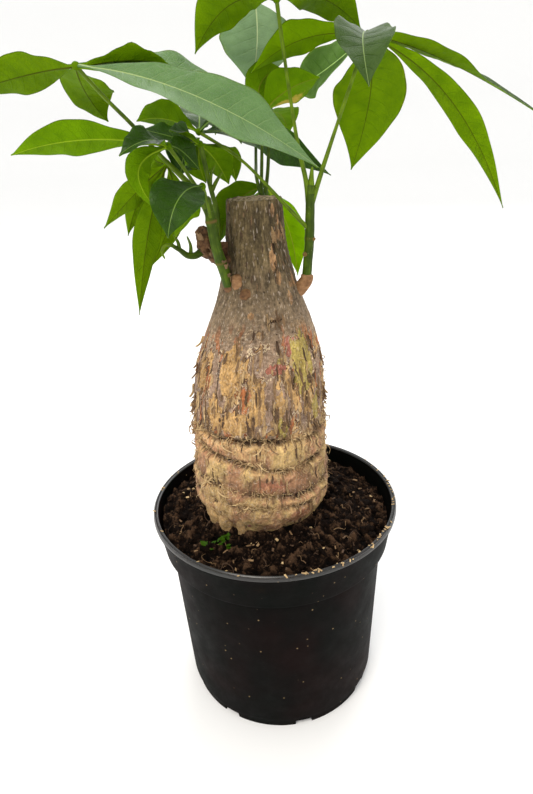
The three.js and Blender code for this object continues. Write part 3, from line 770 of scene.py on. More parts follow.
    def marks(self, tree: Tree, colour: Socket, place: Socket, height: Socket, upright: Socket) -> Socket:
        """Adds scratches, thin cracks in painted shade, short pale dashes and small pores darkened with painted
        shade.

        Args:
            tree: the material's node tree.
            colour: the bark's colour.
            place: the place on the trunk.
            height: the height above the table, in metres.
            upright: the place, drawn out upwards.

        Returns:
            The colour with the marks.
        """
        low = add_node(tree, "MapRange", height, 0.235, 0.2)
        foot = add_node(tree, "MapRange", height, 0.156, 0.17, 0.12, 1.0)
        high = add_node(tree, "MapRange", height, 0.19, 0.22, 0.25, 1.0)
        slim = add_node(tree, "Mapping", {"Vector": place, "Scale": (1.0, 1.0, 0.25)})
        scratches, cracks, dashes = (
            add_node(tree, "TexNoise", {"Vector": where, "Scale": per_mm(grain), "Detail": detail})
            for where, grain, detail in ((place, 3.4, 1.5), (upright, 2.6, 2.0), (slim, 0.87, 1.0))
        )
        pores = add_node(tree, "TexVoronoi", {"Vector": place, "Scale": 190.0})
        # The cracks take the painted shadow colour, and the pores the painted crevice shade.
        return painted(
            tree,
            colour,
            (times(tree, wiry(tree, scratches, 0.5, 0.011, 0.5), low), self.scratch),
            (times(tree, wiry(tree, cracks, 0.47, 0.012, 0.6), low, foot), self.torn),
            (times(tree, add_node(tree, "MapRange", dashes, 0.62, 0.72, 0.0, 0.5), high), self.scratch),
            (add_node(tree, "MapRange", pores, 0.11, 0.05, 0.0, 0.85), self.crevice_shade),
        )


@dataclass(frozen=True)
class CorkySheath(Finish):
    """Light brown cork round the foot of a shoot, and the rough, dead wood of the knob.

    It reads how dark a piece is from the layer "dead".
    """

    name: str = "corky_collar_bark"
    dark: str = "#3b2517"
    body: str = "#85603f"
    pale: str = "#bb9166"
    ring_mm: float = 1.6
    lump_mm: float = 2.2

    def recipe(self, tree: Tree) -> dict[str, Any]:
        """Mixes flat rings with lumps.

        Args:
            tree: the material's node tree.

        Returns:
            What each socket of the main shader takes.
        """
        place = add_node(tree, "TexCoord", out="Object")
        dead, relief = read_layers(tree, "dead", "relief")
        flat = add_node(tree, "Mapping", {"Vector": place, "Scale": (0.35, 0.35, 1.0)})
        rings = add_node(
            tree, "TexNoise", {"Vector": flat, "Scale": per_mm(self.ring_mm), "Detail": 3.0, "Roughness": 0.6}
        )
        lumps = add_node(
            tree,
            "TexNoise",
            {"Vector": place, "Scale": per_mm(self.lump_mm), "Detail": 4.0, "Roughness": 0.65},
        )
        mixed = add_node(tree, "Math", rings, times(tree, lumps, 0.7), operation="ADD")
        # The relief layer adds its painted light and shade.
        level = add_node(tree, "Math", mixed, relief, operation="ADD")
        level = add_node(tree, "Math", level, times(tree, dead, 0.4), operation="SUBTRACT")
        level = add_node(tree, "MapRange", level, 0.75, 1.75)
        return {
            "Base Color": add_node(
                tree, "ValToRGB", level, ramp=[(0.0, self.dark), (0.5, self.body), (1.0, self.pale)]
            ),
            "Roughness": 0.75,
            "Normal": add_node(tree, "Bump", {"Height": mixed, "Strength": 0.8, "Distance": 0.0009}),
            "Specular IOR Level": 0.25,
        }


@dataclass(frozen=True)
class SawnWood(Finish):
    """Grey, dried end grain where the trunk was sawn off, with rings and checks."""

    name: str = "weathered_end_grain"
    pale: str = "#a08c6c"
    dark: str = "#5e4c38"
    ring_mm: float = 1.2
    middle: Point = (-2.5, 0.0, 0.0)

    def recipe(self, tree: Tree) -> dict[str, Any]:
        """Draws the rings round the trunk's own middle.

        Args:
            tree: the material's node tree.

        Returns:
            What each socket of the main shader takes.
        """
        place = add_node(tree, "TexCoord", out="Object")
        centred = {"Vector": place, "Location": tuple(-value * MM for value in self.middle)}
        grain = {
            "Vector": add_node(tree, "Mapping", centred),
            "Scale": 0.16 * per_mm(self.ring_mm),
            "Distortion": 3.0,
            "Detail": 3.0,
        }
        rings = add_node(tree, "TexWave", grain, out="Fac", wave_type="RINGS", rings_direction="Z")
        return {
            "Base Color": add_node(tree, "ValToRGB", rings, ramp=[(0.1, self.dark), (0.8, self.pale)]),
            "Roughness": 0.9,
            "Normal": add_node(tree, "Bump", {"Height": rings, "Strength": 0.5, "Distance": 0.0004}),
        }


@dataclass(frozen=True)
class DryBark(Finish):
    """Loose dry bark, fibres and woody scraps, with each piece's shade in the layer "tone"."""

    name: str = "loose_dry_bark"
    dark: str = "#4a3524"
    body: str = "#8a6c4a"
    pale: str = "#c8ab7c"
    streak_mm: float = 0.6

    def recipe(self, tree: Tree) -> dict[str, Any]:
        """Adds streaks to each piece's own shade.

        Args:
            tree: the material's node tree.

        Returns:
            What each socket of the main shader takes.
        """
        place = add_node(tree, "TexCoord", out="Object")
        streak = add_node(tree, "TexNoise", {"Vector": place, "Scale": per_mm(self.streak_mm), "Detail": 3.0})
        mixed = add_node(tree, "Math", streak, 0.5, *read_layers(tree, "tone"), operation="MULTIPLY_ADD")
        ramp = [(0.2, self.dark), (0.65, self.body), (1.15, self.pale)]
        return {"Base Color": add_node(tree, "ValToRGB", mixed, ramp=ramp), "Roughness": 0.85}


@dataclass(frozen=True)
class GreenStem(Finish):
    """Living green stem: waxy skin with fine lengthwise streaks, pale pores and brown scars."""

    name: str = "green_stem_skin"
    shade: str = "#223004"
    body: str = "#3a4f06"
    light: str = "#647d12"
    pore: str = "#8e9c5c"
    scar: str = "#77592f"
    streak_mm: float = 0.8

    def recipe(self, tree: Tree) -> dict[str, Any]:
        """Follows each stem by its own layers, which are in mm.

        Args:
            tree: the material's node tree.

        Returns:
            What each socket of the main shader takes.
        """
        along, across, scar, tone = read_layers(tree, "along", "across", "scar", "tone")
        skin = add_node(tree, "CombineXYZ", across, times(tree, along, 0.08), tone)
        fine = {"Vector": skin, "Scale": 1 / self.streak_mm, "Detail": 3.0, "Roughness": 0.6}
        streak = add_node(tree, "TexNoise", fine)
        even = add_node(tree, "CombineXYZ", across, along, tone)
        patchy = add_node(tree, "TexNoise", {"Vector": even, "Scale": 0.16, "Detail": 2.0})
        mixed = add_node(tree, "Math", streak, 0.6, patchy, operation="MULTIPLY_ADD")
        mixed = add_node(tree, "Math", tone, 0.5, mixed, operation="MULTIPLY_ADD")
        level = add_node(tree, "MapRange", mixed, 0.55, 1.5)
        ramp = [(0.1, self.shade), (0.5, self.body), (0.95, self.light)]
        colour = add_node(tree, "ValToRGB", level, ramp=ramp)
        pores = add_node(tree, "TexVoronoi", {"Vector": even, "Scale": 0.55})
        pores = add_node(tree, "MapRange", pores, 0.14, 0.06, 0.0, 0.5)
        return {
            "Base Color": painted(tree, colour, (pores, self.pore), (scar, self.scar)),
            "Roughness": 0.5,
            "Normal": add_node(tree, "Bump", {"Height": streak, "Strength": 0.3, "Distance": 0.0002}),
            "Specular IOR Level": 0.16,
            "Subsurface Weight": 0.08,
            "Subsurface Radius": (0.8, 1.0, 0.1),
            "Subsurface Scale": 0.0008,
        }


@dataclass(frozen=True)
class LeafSkin(Finish):
    """One side of a living leaf: waxy with furrowed veins above, matt and lit through below."""

    name: str
    blade: str
    light: str
    rib: str
    vein: str
    margin: str
    gloss: float
    roughness: float
    furrowed: bool = True
    dry: str = "#a8903f"
    rib_mm: float = 0.4
    drawn: float = 0.4  # how plainly the side veins show
    lit_through: float = 0.12

    def recipe(self, tree: Tree) -> dict[str, Any]:
        """Draws the veins, the midrib, the margin and dry spots where the layers say they lie.

        Args:
            tree: the material's node tree.

        Returns:
            What each socket of the main shader takes.
        """
        along, across, place, edge, tone, bright, scorch = read_layers(tree, *PalmateLeaf.LAYERS)
        side = add_node(tree, "Math", across, operation="ABSOLUTE")
        skin = add_node(tree, "CombineXYZ", along, across, tone)
        cloud, spots = (
            add_node(
                tree, "TexNoise", {"Vector": skin, "Scale": scale, "Detail": detail, "Roughness": roughness}
            )
            for scale, detail, roughness in ((0.12, 3.0, 0.6), (0.45, 4.0, 0.7))
        )
        net = add_node(tree, "TexVoronoi", {"Vector": skin, "Scale": 0.75}, feature="DISTANCE_TO_EDGE")
        net = add_node(tree, "MapRange", net, 0.09, 0.0, 0.0, 0.3)
        lines = add_node(tree, "Math", self.veins(tree, along, side, edge, cloud), net, operation="MAXIMUM")
        # The midrib narrows towards the tip.
        width = add_node(tree, "MapRange", place, 0.0, 1.0, self.rib_mm, 0.25 * self.rib_mm)
        rib = add_node(tree, "MapRange", add_node(tree, "Math", side, width, operation="DIVIDE"), 1.25, 0.7)
        dry = add_node(tree, "Math", spots, scorch, operation="ADD")
        colour = painted(
            tree,
            self.blade,
            (add_node(tree, "MapRange", cloud, 0.3, 0.7), self.light),
            (times(tree, lines, self.drawn), self.vein),
            (rib, self.rib),
            (add_node(tree, "MapRange", edge, 0.94, 0.985, 0.0, 0.85), self.margin),
            (add_node(tree, "MapRange", dry, 1.0, 1.25, 0.0, 0.75), self.dry),
        )
        # Each leaflet's painted light and shade scales its colour, up to a limit.
        brightest = 4.0 if self.furrowed else 2.3
        ridge = add_node(tree, "Math", lines, rib, operation="MAXIMUM")
        relief = {"Height": ridge, "Strength": 0.7, "Distance": 0.00045}
        return {
            "Base Color": shaded(tree, colour, add_node(tree, "Math", bright, brightest, operation="MINIMUM")),
            "Roughness": self.roughness,
            "Normal": add_node(tree, "Bump", relief, invert=self.furrowed),
            "IOR": 1.42,
            "Specular IOR Level": self.gloss,
            "Subsurface Weight": self.lit_through,
            "Subsurface Radius": (0.8, 1.0, 0.1),
            "Subsurface Scale": 0.0009,
        }

    def veins(self, tree: Tree, along: Socket, side: Socket, edge: Socket, cloud: Socket) -> Socket:
        """Draws the side veins, which leave the midrib at a slant and bow towards the tip.

        Args:
            tree: the material's node tree.
            along: the way from the hub, in mm.
            side: the distance from the midrib, in mm.
            edge: the share of the way from the midrib to the margin.
            cloud: noise that makes them wander.

        Returns:
            1 on a vein and 0 off it.
        """
        slant = add_node(tree, "Math", side, -VEIN_SLANT, along, operation="MULTIPLY_ADD")
        wandering = add_node(tree, "Math", cloud, 2.2, slant, operation="MULTIPLY_ADD")
        bow = times(tree, add_node(tree, "Math", edge, 1.6, operation="POWER"), 2.6)
        steps = add_node(tree, "Math", wandering, bow, operation="SUBTRACT")
        steps = add_node(tree, "Math", steps, VEIN_MM, operation="DIVIDE")
        line = wiry(tree, add_node(tree, "Math", steps, operation="FRACT"), 0.5, 0.07, 1.0)
        return times(tree, line, add_node(tree, "MapRange", edge, 0.95, 0.3, 0.0, 0.65))


@dataclass(frozen=True)
class WhitePaper(Finish):
    """Matt white background paper with a faint tooth."""

    name: str = "matt_white_paper"
    colour: str = "#fafaf9"
    tooth_mm: float = 10 / 3

    def recipe(self, tree: Tree) -> dict[str, Any]:
        """Gives the paper its tooth.

        Args:
            tree: the material's node tree.

        Returns:
            What each socket of the main shader takes.
        """
        place = add_node(tree, "TexCoord", out="Object")
        tooth = add_node(tree, "TexNoise", {"Vector": place, "Scale": per_mm(self.tooth_mm)})
        bump = add_node(tree, "Bump", {"Height": tooth, "Strength": 0.05, "Distance": 0.0001})
        return {"Base Color": self.colour, "Roughness": 0.9, "Normal": bump}


# ------------------------------------------------------------------ leaves


class LeafLook(Enum):
    """How a leaf looks from where it grows: its colours are painted for the light there, with lit and shaded
    copies of the same skins.
    """

    SUNLIT = "sunlit"
    SATIN_SHADED = "satin"
    GLOSSY = "glossy"
    SHADED = "shaded"


def underside(name: str, blade: str, light: str, rib: str, vein: str, **values: float) -> LeafSkin:
    """Gives the skin below a leaf, which is matt and never furrowed."""
    return LeafSkin(name, blade, light, rib, vein, "#2f4206", gloss=0.05, furrowed=False, **values)


MATT_UNDERSIDE = underside(
    "matt_leaf_underside", "#557600", "#698b00", "#4a5508", "#577610", roughness=0.65, rib_mm=0.28
)
# The upper and the lower skin of each look, with its colours of blade, light, rib, vein and margin.
LEAF_FINISHES = {
    LeafLook.SUNLIT: (
        LeafSkin(
            "waxy_leaf_upper_side", "#4c6d36", "#5f8049", "#93a86a", "#7f9a5c",
            "#3a5720", 0.32, 0.42, drawn=0.55,
        ),
        MATT_UNDERSIDE,
    ),
    # The satin upper side is less glossy and painted darker as shade.
    LeafLook.SATIN_SHADED: (
        LeafSkin(
            "satin_leaf_upper_side_painted_shade", "#324a17", "#43592b", "#7d9256", "#22380c",
            "#2c4210", 0.12, 0.5, drawn=0.6,
        ),
        MATT_UNDERSIDE,
    ),
    LeafLook.GLOSSY: (
        LeafSkin("glossy_leaf_upper_side", "#213d02", "#2f4f06", "#6f8c3c", "#1a3202", "#22390a", 0.18, 0.38),
        underside("young_leaf_underside", "#4c6d00", "#5f8300", "#7f9a1c", "#527204", roughness=0.6),
    ),
    # The shaded look: its upper side is painted greyer and lighter as a sheen, its underside a little darker as
    # shade.
    LeafLook.SHADED: (
        LeafSkin("shaded_leaf_upper_side_painted_sheen", "#617e53", "#769466", "#a3b583", "#8aa276", "#46643a", 0.3, 0.45),
        underside("shaded_leaf_underside", "#4a6b00", "#5b7e00", "#68741a", "#4f6e08", roughness=0.65),
    ),
}


@dataclass(frozen=True)
class Leaflet:
    """One blade of a leaf. Its rib passes the point by and ends at the tip."""

    by: Point
    tip: Point
    width: float
    faces: Point  # the way its upper side looks
    fold: float = 14.0  # how far its two halves lift, in degrees
    wave: float = 0.9  # how far its margins go up and down
    turn: float = 0.0  # how far it turns over on its way, in degrees
    widest: float = 0.55  # share of its length where it is widest
    bright: float = 1.0  # painted light and shade: how much lighter or darker it is painted than the others, partly its own tone
    scorched: float = 0.0  # share of its length at which it has a dry spot


BELOW: Point = (0.0, 0.85, 0.5)  # hangs with its pale underside to the front
ABOVE: Point = (0.0, -0.6, 0.8)  # shows its upper side to the front


@dataclass
class PalmateLeaf:
    """A hand-shaped leaf: leaflets that meet on a small hub at the end of a stalk."""

    LAYERS = ("along", "across", "place", "edge", "tone", "bright", "scorch")

    node: str
    look: LeafLook
    hub: Point
    leaflets: Sequence[Leaflet]
    starts_at: float = 0.6  # a leaflet starts this far from the middle of the hub
    stalk_width: float = 1.5
    tip_width: float = 0.35
    blade_thickness: float = 0.42
    stalk_thickness: float = 1.3
    hub_radius: float = 1.4
    across: int = 14  # faces from margin to margin
    station: float = 1.25  # length of a face along the rib
    spot: Point = (0.36, -0.75, 0.3)  # a dry spot's half length, side and half width, as shares

    @staticmethod
    def outline(place: float, peak: float) -> float:
        """Gives the width at a place of the rib.

        Args:
            place: the share of the rib's length.
            peak: the share at which the leaflet is widest.

        Returns:
            The width, as a share of the widest.
        """
        if place < peak:
            return math.sin(math.pi / 2 * (place / peak)) ** 1.4
        return max(0.0, math.sin(math.pi / 2 * ((1 - place) / (1 - peak)))) ** 1.2

    def add_leaflet(self, mesh: Mesh, coat: Coat, leaflet: Leaflet, order: int) -> None:
        """Adds one leaflet as a closed blade with an upper and a lower skin.

        Args:
            mesh: the leaf's mesh.
            coat: the layers that the material reads.
            leaflet: what to build.
            order: its number on the leaf, which varies its waves.
        """
        hub, middle, end = Vector(self.hub), Vector(leaflet.by), Vector(leaflet.tip)
        start = hub + (middle - hub).normalized() * self.starts_at
        pull = 2 * middle - (start + end) / 2
        length = (middle - start).length + (end - middle).length
        faces = Vector(leaflet.faces)
        slope = math.radians(leaflet.fold)
        tone = 7.3 * order + sum(self.hub) * 0.37

        def rib_at(place: float) -> tuple[Vector, Vector, Vector]:
            """Finds the rib at a share of its length.

            Args:
                place: the share.

            Returns:
                The rib's middle, the way across and the way up.
            """
            rest = 1 - place
            centre = start * rest**2 + pull * (2 * place * rest) + end * place**2
            forward = ((pull - start) * rest + (end - pull) * place).normalized()
            up = Matrix.Rotation(math.radians(leaflet.turn * place), 3, forward) @ faces
            cross = forward.cross(up).normalized()
            return centre, cross, cross.cross(forward).normalized()

        def blade(turn: float, place: float) -> tuple[Vector, float, float]:
            """Finds a point of the skin.

            Args:
                turn: the share of the way round the blade, whose first half is its upper side.
                place: the share of the rib's length.

            Returns:
                The point, its distance from the rib and its side from -1 to 1.
            """
            upper = turn <= 0.5
            side = -1 + 4 * turn if upper else 3 - 4 * turn
            centre, cross, up = rib_at(place)
            share = self.outline(place, leaflet.widest)
            least = (self.stalk_width * (1 - place) + self.tip_width * place) / 2
            half = max(leaflet.width * share / 2, least)
            nick = 0.009 * noise.noise(Vector((place * 11, 3.1 * order, 1.0 if side > 0 else 9.0)))
            half *= 1 + nick * 3 * abs(side)
            out = side * half
            hand = math.copysign(1, side)
            rise = (math.sqrt(out * out + 0.8) - math.sqrt(0.8)) * math.sin(slope)
            ripple = leaflet.wave * share * math.sin(14 * place + 1.9 * order + 1.6 * hand)
            ripple *= abs(side) ** 1.4
            frill = 0.35 * share * abs(side) ** 3 * math.sin(31 * place + 2.7 * order + 2.2 * hand)
            phase = (place * length - VEIN_SLANT * abs(out)) / VEIN_MM
            quilt = 0.16 * share * math.cos(math.tau * phase) * smooth(abs(out), 0.3, 1.6) * (1 - side**4)
            base = 1 - smooth(place, 0.0, 0.09)
            rib = 0.75 * bell(out, 0.55) * (1 - 0.8 * place) * (1 - base)
            thick = self.blade_thickness + (self.stalk_thickness - self.blade_thickness) * base
            thick *= math.sqrt(max(0.0, 1 - side**6))
            rib *= 1 - side**6
            lift = rise + ripple + frill + quilt
            lift += thick / 2 - 0.3 * rib if upper else -thick / 2 - rib
            return centre + cross * (out * math.cos(slope)) + up * lift, out, side

        rings = max(14, round(length / self.station))
        made = bmesh.ops.create_grid(mesh, x_segments=2 * self.across, y_segments=rings, size=0.5)["verts"]
        for face in {face for corner in made for face in corner.link_faces}:
            face.material_index = int(face.calc_center_median().x > 0)
        for corner in made:
            turn, place = corner.co.x + 0.5, min(1.0, max(0.0, corner.co.y + 0.5))
            point, out, side = blade(turn, place)
            corner.co = point * MM
            away = math.hypot((place - leaflet.scorched) / self.spot[0], (side - self.spot[1]) / self.spot[2])
            spot = bell(away, 1.0) if leaflet.scorched else 0.0
            coat.put(corner, along=place * length, across=out, place=place, edge=abs(side), tone=tone)
            coat.put(corner, bright=leaflet.bright, scorch=spot)
        bmesh.ops.remove_doubles(mesh, verts=made, dist=1e-7)

    def build(self, skins: Sequence[Material]) -> Piece:
        """Builds the whole leaf and puts it in the place of its solid.

        Args:
            skins: what its upper and its lower side are dressed in.

        Returns:
            The leaf.
        """
        mesh = bmesh.new()
        coat = Coat(mesh, *self.LAYERS)
        for order, leaflet in enumerate(self.leaflets):
            self.add_leaflet(mesh, coat, leaflet, order)
        # The hub is a lumpy ball, painted a little darker as shade between the leaflets.
        ball = bmesh.ops.create_icosphere(mesh, subdivisions=3, radius=self.hub_radius * MM)["verts"]
        for corner in ball:
            lump = 1 + 0.12 * noise.noise(corner.co * 900)
            corner.co = corner.co * lump + Vector(self.hub) * MM
            coat.put(corner, place=0.0, across=1.5, edge=0.5, tone=self.hub[0], bright=0.8)
        for face in {face for corner in ball for face in corner.link_faces}:
            face.material_index = 1
        close_up(mesh)
        return finished_piece(f"{self.node}_blades", mesh, skins, [self.node], crease=75)


LEAVES = (
    PalmateLeaf("leaf_right_top", LeafLook.SUNLIT, (10, -4, 338), (
        Leaflet((-9, 14, 340), (-25, 26, 325), 20, (-0.2, 0.8, 0.55), wave=1.4),
        Leaflet((29, 14, 341), (47, 26, 331), 19, (0.2, 0.8, 0.55), wave=1.4),
        Leaflet((17, 20, 349), (28, 44, 345), 19, (0.1, 0.2, 1)),
        Leaflet((-8, -20, 346), (-20, -36, 341), 19, (-0.2, -0.3, 1)),
        Leaflet((26, -18, 347), (42, -30, 343), 19, (0.2, -0.3, 1)),
    )),
    PalmateLeaf("leaf_right_outer", LeafLook.SATIN_SHADED, (44.5, -6, 325), (
        Leaflet((38.9, -28, 320.6), (38.7, -44, 305), 24, (0, -0.7, 0.7), fold=28),
        Leaflet((50, 18, 305), (43.7, 28, 274.7), 32, (0, 0.95, 0.3), fold=6, widest=0.5),
        Leaflet((82, 4, 300.6), (108.3, 4, 257), 12, (0.4, 0.8, 0.45), fold=16),
        Leaflet((81.4, 6, 315), (131, 14, 290), 12, (0.2, 0.8, 0.55), turn=95, widest=0.36),
        Leaflet((21, 12, 327), (-1, 16, 316), 16, (-0.2, 0.75, 0.6), bright=1.25),
        Leaflet((31, 24, 316), (16, 34, 309), 22, (0, -0.9, 0.45), bright=3.2),
    )),
    PalmateLeaf("leaf_right_inner", LeafLook.GLOSSY, (-23.4, -5, 294), (
        Leaflet((2.4, 34, 289.5), (35.7, 40, 272), 20, (0, -0.85, 0.5)),
        Leaflet((-13.7, -12, 298), (-6, -18, 289), 11, (0.2, -0.75, 0.6)),
        Leaflet((-36.3, -4, 299.7), (-49, 0, 299.3), 16, (0, 0.7, 0.7), widest=0.5),
        Leaflet((-24, 9, 301), (-27, 24, 303.5), 22, (0, -0.35, 0.94)),
    )),
    PalmateLeaf("leaf_left_outer", LeafLook.SUNLIT, (-57, -50, 314.7), (
        Leaflet((-18.5, -62, 303.7), (20, -56, 281), 24, (0.2, -0.6, 0.8), fold=12, widest=0.64),
        Leaflet((-77.3, -40, 313.9), (-105.3, -28, 310), 14, BELOW, bright=0.8),
        Leaflet((-60, -28, 307.4), (-56, -20, 299), 20, (0.1, 0.9, 0.4), widest=0.4),
        Leaflet((-41.5, -42, 316.8), (-29.4, -34, 315.6), 11, (0, 0.5, 0.85)),
        Leaflet((-30.2, -38, 313), (-3.6, -26, 304.3), 22, (0.1, -0.45, 0.9)),
    )),
    PalmateLeaf("leaf_left_upper", LeafLook.GLOSSY, (-22.7, -12, 289.5), (
        Leaflet((-27.2, -18, 293.2), (-33, -22, 295), 13, (0, -0.5, 0.85), fold=25),
        Leaflet((-33, -14, 292.5), (-45, -16, 296), 14, (0, -0.5, 0.85)),
        Leaflet((-29.5, -5, 286.5), (-33, -1, 277.5), 17, (0.1, -0.85, 0.5)),
        Leaflet((-17.5, -2, 283), (-13, 2, 273), 15, (0.2, 0.95, 0.3)),
        Leaflet((-24.7, -2, 282.6), (-23, 4, 273.8), 13, (-0.2, 0.95, 0.3)),
        Leaflet((-24, 9, 284), (-24, 28, 275), 16, (0, 0.4, 0.9)),
        Leaflet((-13.4, 6, 284), (-10.3, 12, 273), 11, (0.2, 0.95, 0.3)),
    )),
    PalmateLeaf("leaf_left_middle", LeafLook.GLOSSY, (-32.6, -33, 289.6), (
        Leaflet((-38.7, -43, 291.7), (-47.9, -47, 287.4), 13, ABOVE, fold=25),
        Leaflet((-62.2, -34, 293.3), (-92.3, -28, 289.2), 14, BELOW, widest=0.62, bright=1.2),
        Leaflet((-43.2, -41, 281.6), (-36.6, -41, 267), 10, (-0.3, 0.9, 0.2), widest=0.36),
        Leaflet((-29.2, -21.5, 287.4), (-23.5, -16, 280.2), 12, (0.3, -0.8, 0.5)),
    )),
    PalmateLeaf("leaf_left_low", LeafLook.SUNLIT, (-37.1, -9, 283), (
        Leaflet((-50.6, -8, 273.2), (-68.2, -4, 258), 12, (-0.3, 0.8, 0.4)),
        Leaflet((-48, -8, 257.7), (-57.3, -8, 219.6), 12, (-0.3, 0.9, 0.2), wave=1.4, bright=0.85),
        Leaflet((-39.2, 4, 262.4), (-52.8, 8, 237.4), 15, (-0.2, 0.95, 0.3)),
        Leaflet((-52.3, 6, 269.6), (-61.4, 10, 252.2), 11, (-0.2, 0.95, 0.3)),
        Leaflet((-42.4, -4, 284.5), (-46, 2, 288.5), 13, (-0.2, 0.9, 0.3)),
    )),
    PalmateLeaf("leaf_left_front", LeafLook.GLOSSY, (-22, -25, 274.6), (
        Leaflet((-29.2, -42, 272.2), (-33.8, -50, 259.4), 21, (0, -0.8, 0.6)),
        Leaflet((-27, -28, 266), (-36, -20, 255), 11, (-0.4, 0.6, 0.6)),
    )),
    PalmateLeaf("leaf_back_middle", LeafLook.SHADED, (2.8, 17, 300), (
        Leaflet((13.3, 10, 308.4), (26.8, 2, 312), 20, (0, 0.7, 0.7), bright=1.3, scorched=0.4),
        Leaflet((3, 21.6, 312.6), (13, 24, 317.4), 15, BELOW),
        Leaflet((-10, 26, 306), (-22, 40, 300), 17, (-0.2, 0.4, 0.9)),
    )),
    PalmateLeaf("leaf_back_low", LeafLook.SHADED, (3.2, 25, 269.8), (
        Leaflet((-11.5, 23, 263), (-21.5, 15, 244), 20, (-0.3, 0.8, 0.5)),
        Leaflet((13.4, 32, 250), (17.6, 30, 225.3), 16, (0.3, 0.9, 0.3), bright=2.3),
        Leaflet((2, 48, 257), (2, 72, 240), 21, (0, 0.5, 0.85)),
    )),
    PalmateLeaf("leaf_back_top", LeafLook.SHADED, (2, 41, 347.4), (
        Leaflet((2.2, 32, 329), (-1.5, 26, 311), 33, (0, -0.95, 0.3), fold=6, widest=0.48),
        Leaflet((-16, 58, 358), (-34, 72, 356), 19, (-0.2, 0.3, 1)),
        Leaflet((20, 60, 359), (38, 72, 356), 19, (0.2, 0.3, 1)),
        Leaflet((2, 70, 361), (3, 96, 359), 20, (0, 0.3, 1)),
    )),
    PalmateLeaf("leaf_back_rear", LeafLook.SHADED, (0, 54, 298.5), (
        Leaflet((-14, 75, 303.5), (-23, 90, 293), 20, (-0.2, 0.4, 0.9)),
        Leaflet((-1, 85, 304), (-3, 108, 290), 21, (0, 0.4, 0.9)),
        Leaflet((12, 76, 302.4), (18, 92, 291), 20, (0.2, 0.4, 0.9)),
    )),
)


# ------------------------------------------------------------------ stems


@dataclass(frozen=True)
class Stem:
    """A round stem: its way points, and radii spread evenly along them, in mm."""

    way: Sequence[Point]
    radii: Sequence[float]
    joints: Sequence[float] = ()  # shares of its way where old leaves have left a ring
    tone: float = 0.95  # 0 is dark, 1 is pale

    def radius(self, share: float) -> float:
        """Finds the plain radius at a share of the way.

        Args:
            share: how much of the way lies behind.

        Returns:
            The radius in mm.
        """
        place = min(0.9999, max(0.0, share)) * (len(self.radii) - 1)
        low = int(place)
        return self.radii[low] + (self.radii[low + 1] - self.radii[low]) * (place - low)


@dataclass
class Shoot:
    """A green stem with the leaf stalks that leave it."""

    node: str
    stem: Stem
    stalks: Sequence[Stem]
    ring: float = 0.9  # length of a face along a stem
    sides: int = 20
    stalk_sides: int = 14

    def add_stem(self, mesh: Mesh, coat: Coat, stem: Stem, sides: int, order: int) -> None:
        """Adds one stem or stalk, with its swellings.

        Args:
            mesh: the shoot's mesh.
            coat: the layers that the material reads.
            stem: what to build.
            sides: faces round it.
            order: its number, which varies it.
        """
        path = Path(stem.way)

        def radius(angle: float, share: float) -> float:
            """Gives the radius at an angle and a share of the way, with its ribs, rings and taper.

            Args:
                angle: the angle round it.
                share: how much of the way lies behind.

            Returns:
                The radius in mm.
            """
            along = share * path.length
            swell = sum(0.14 * bell(along - joint * path.length, 0.9) for joint in stem.joints)
            rib = 0.025 * math.sin(5 * angle + order) + 0.02 * math.sin(3 * angle + along / 9)
            lump = 0.05 * noise.noise(Vector((math.cos(angle), math.sin(angle), along / 5 + 7 * order)))
            end = 1 - 0.55 * smooth(along, path.length - 0.9, path.length + 0.3)
            return stem.radius(share) * (1 + swell + rib + lump) * end

        rings = max(10, round(path.length / self.ring))
        for corner in add_tube(mesh, coat, path, radius, sides, rings, tone=stem.tone):
            along = corner[coat.layers["along"]]
            scar = sum(bell(along - joint * path.length, 0.3) for joint in stem.joints)
            coat.put(corner, scar=min(1.0, 0.8 * scar))

    def build(self, finish: Material) -> Piece:
        """Builds the shoot and puts it in the place of its solid.

        Args:
            finish: what it is dressed in.

        Returns:
            The shoot.
        """
        mesh = bmesh.new()
        coat = Coat(mesh, "along", "across", "tone", "scar")
        self.add_stem(mesh, coat, self.stem, self.sides, 0)
        for order, stalk in enumerate(self.stalks, start=1):
            self.add_stem(mesh, coat, stalk, self.stalk_sides, order)
        close_up(mesh)
        return finished_piece(f"{self.node}_skin", mesh, [finish], [self.node])


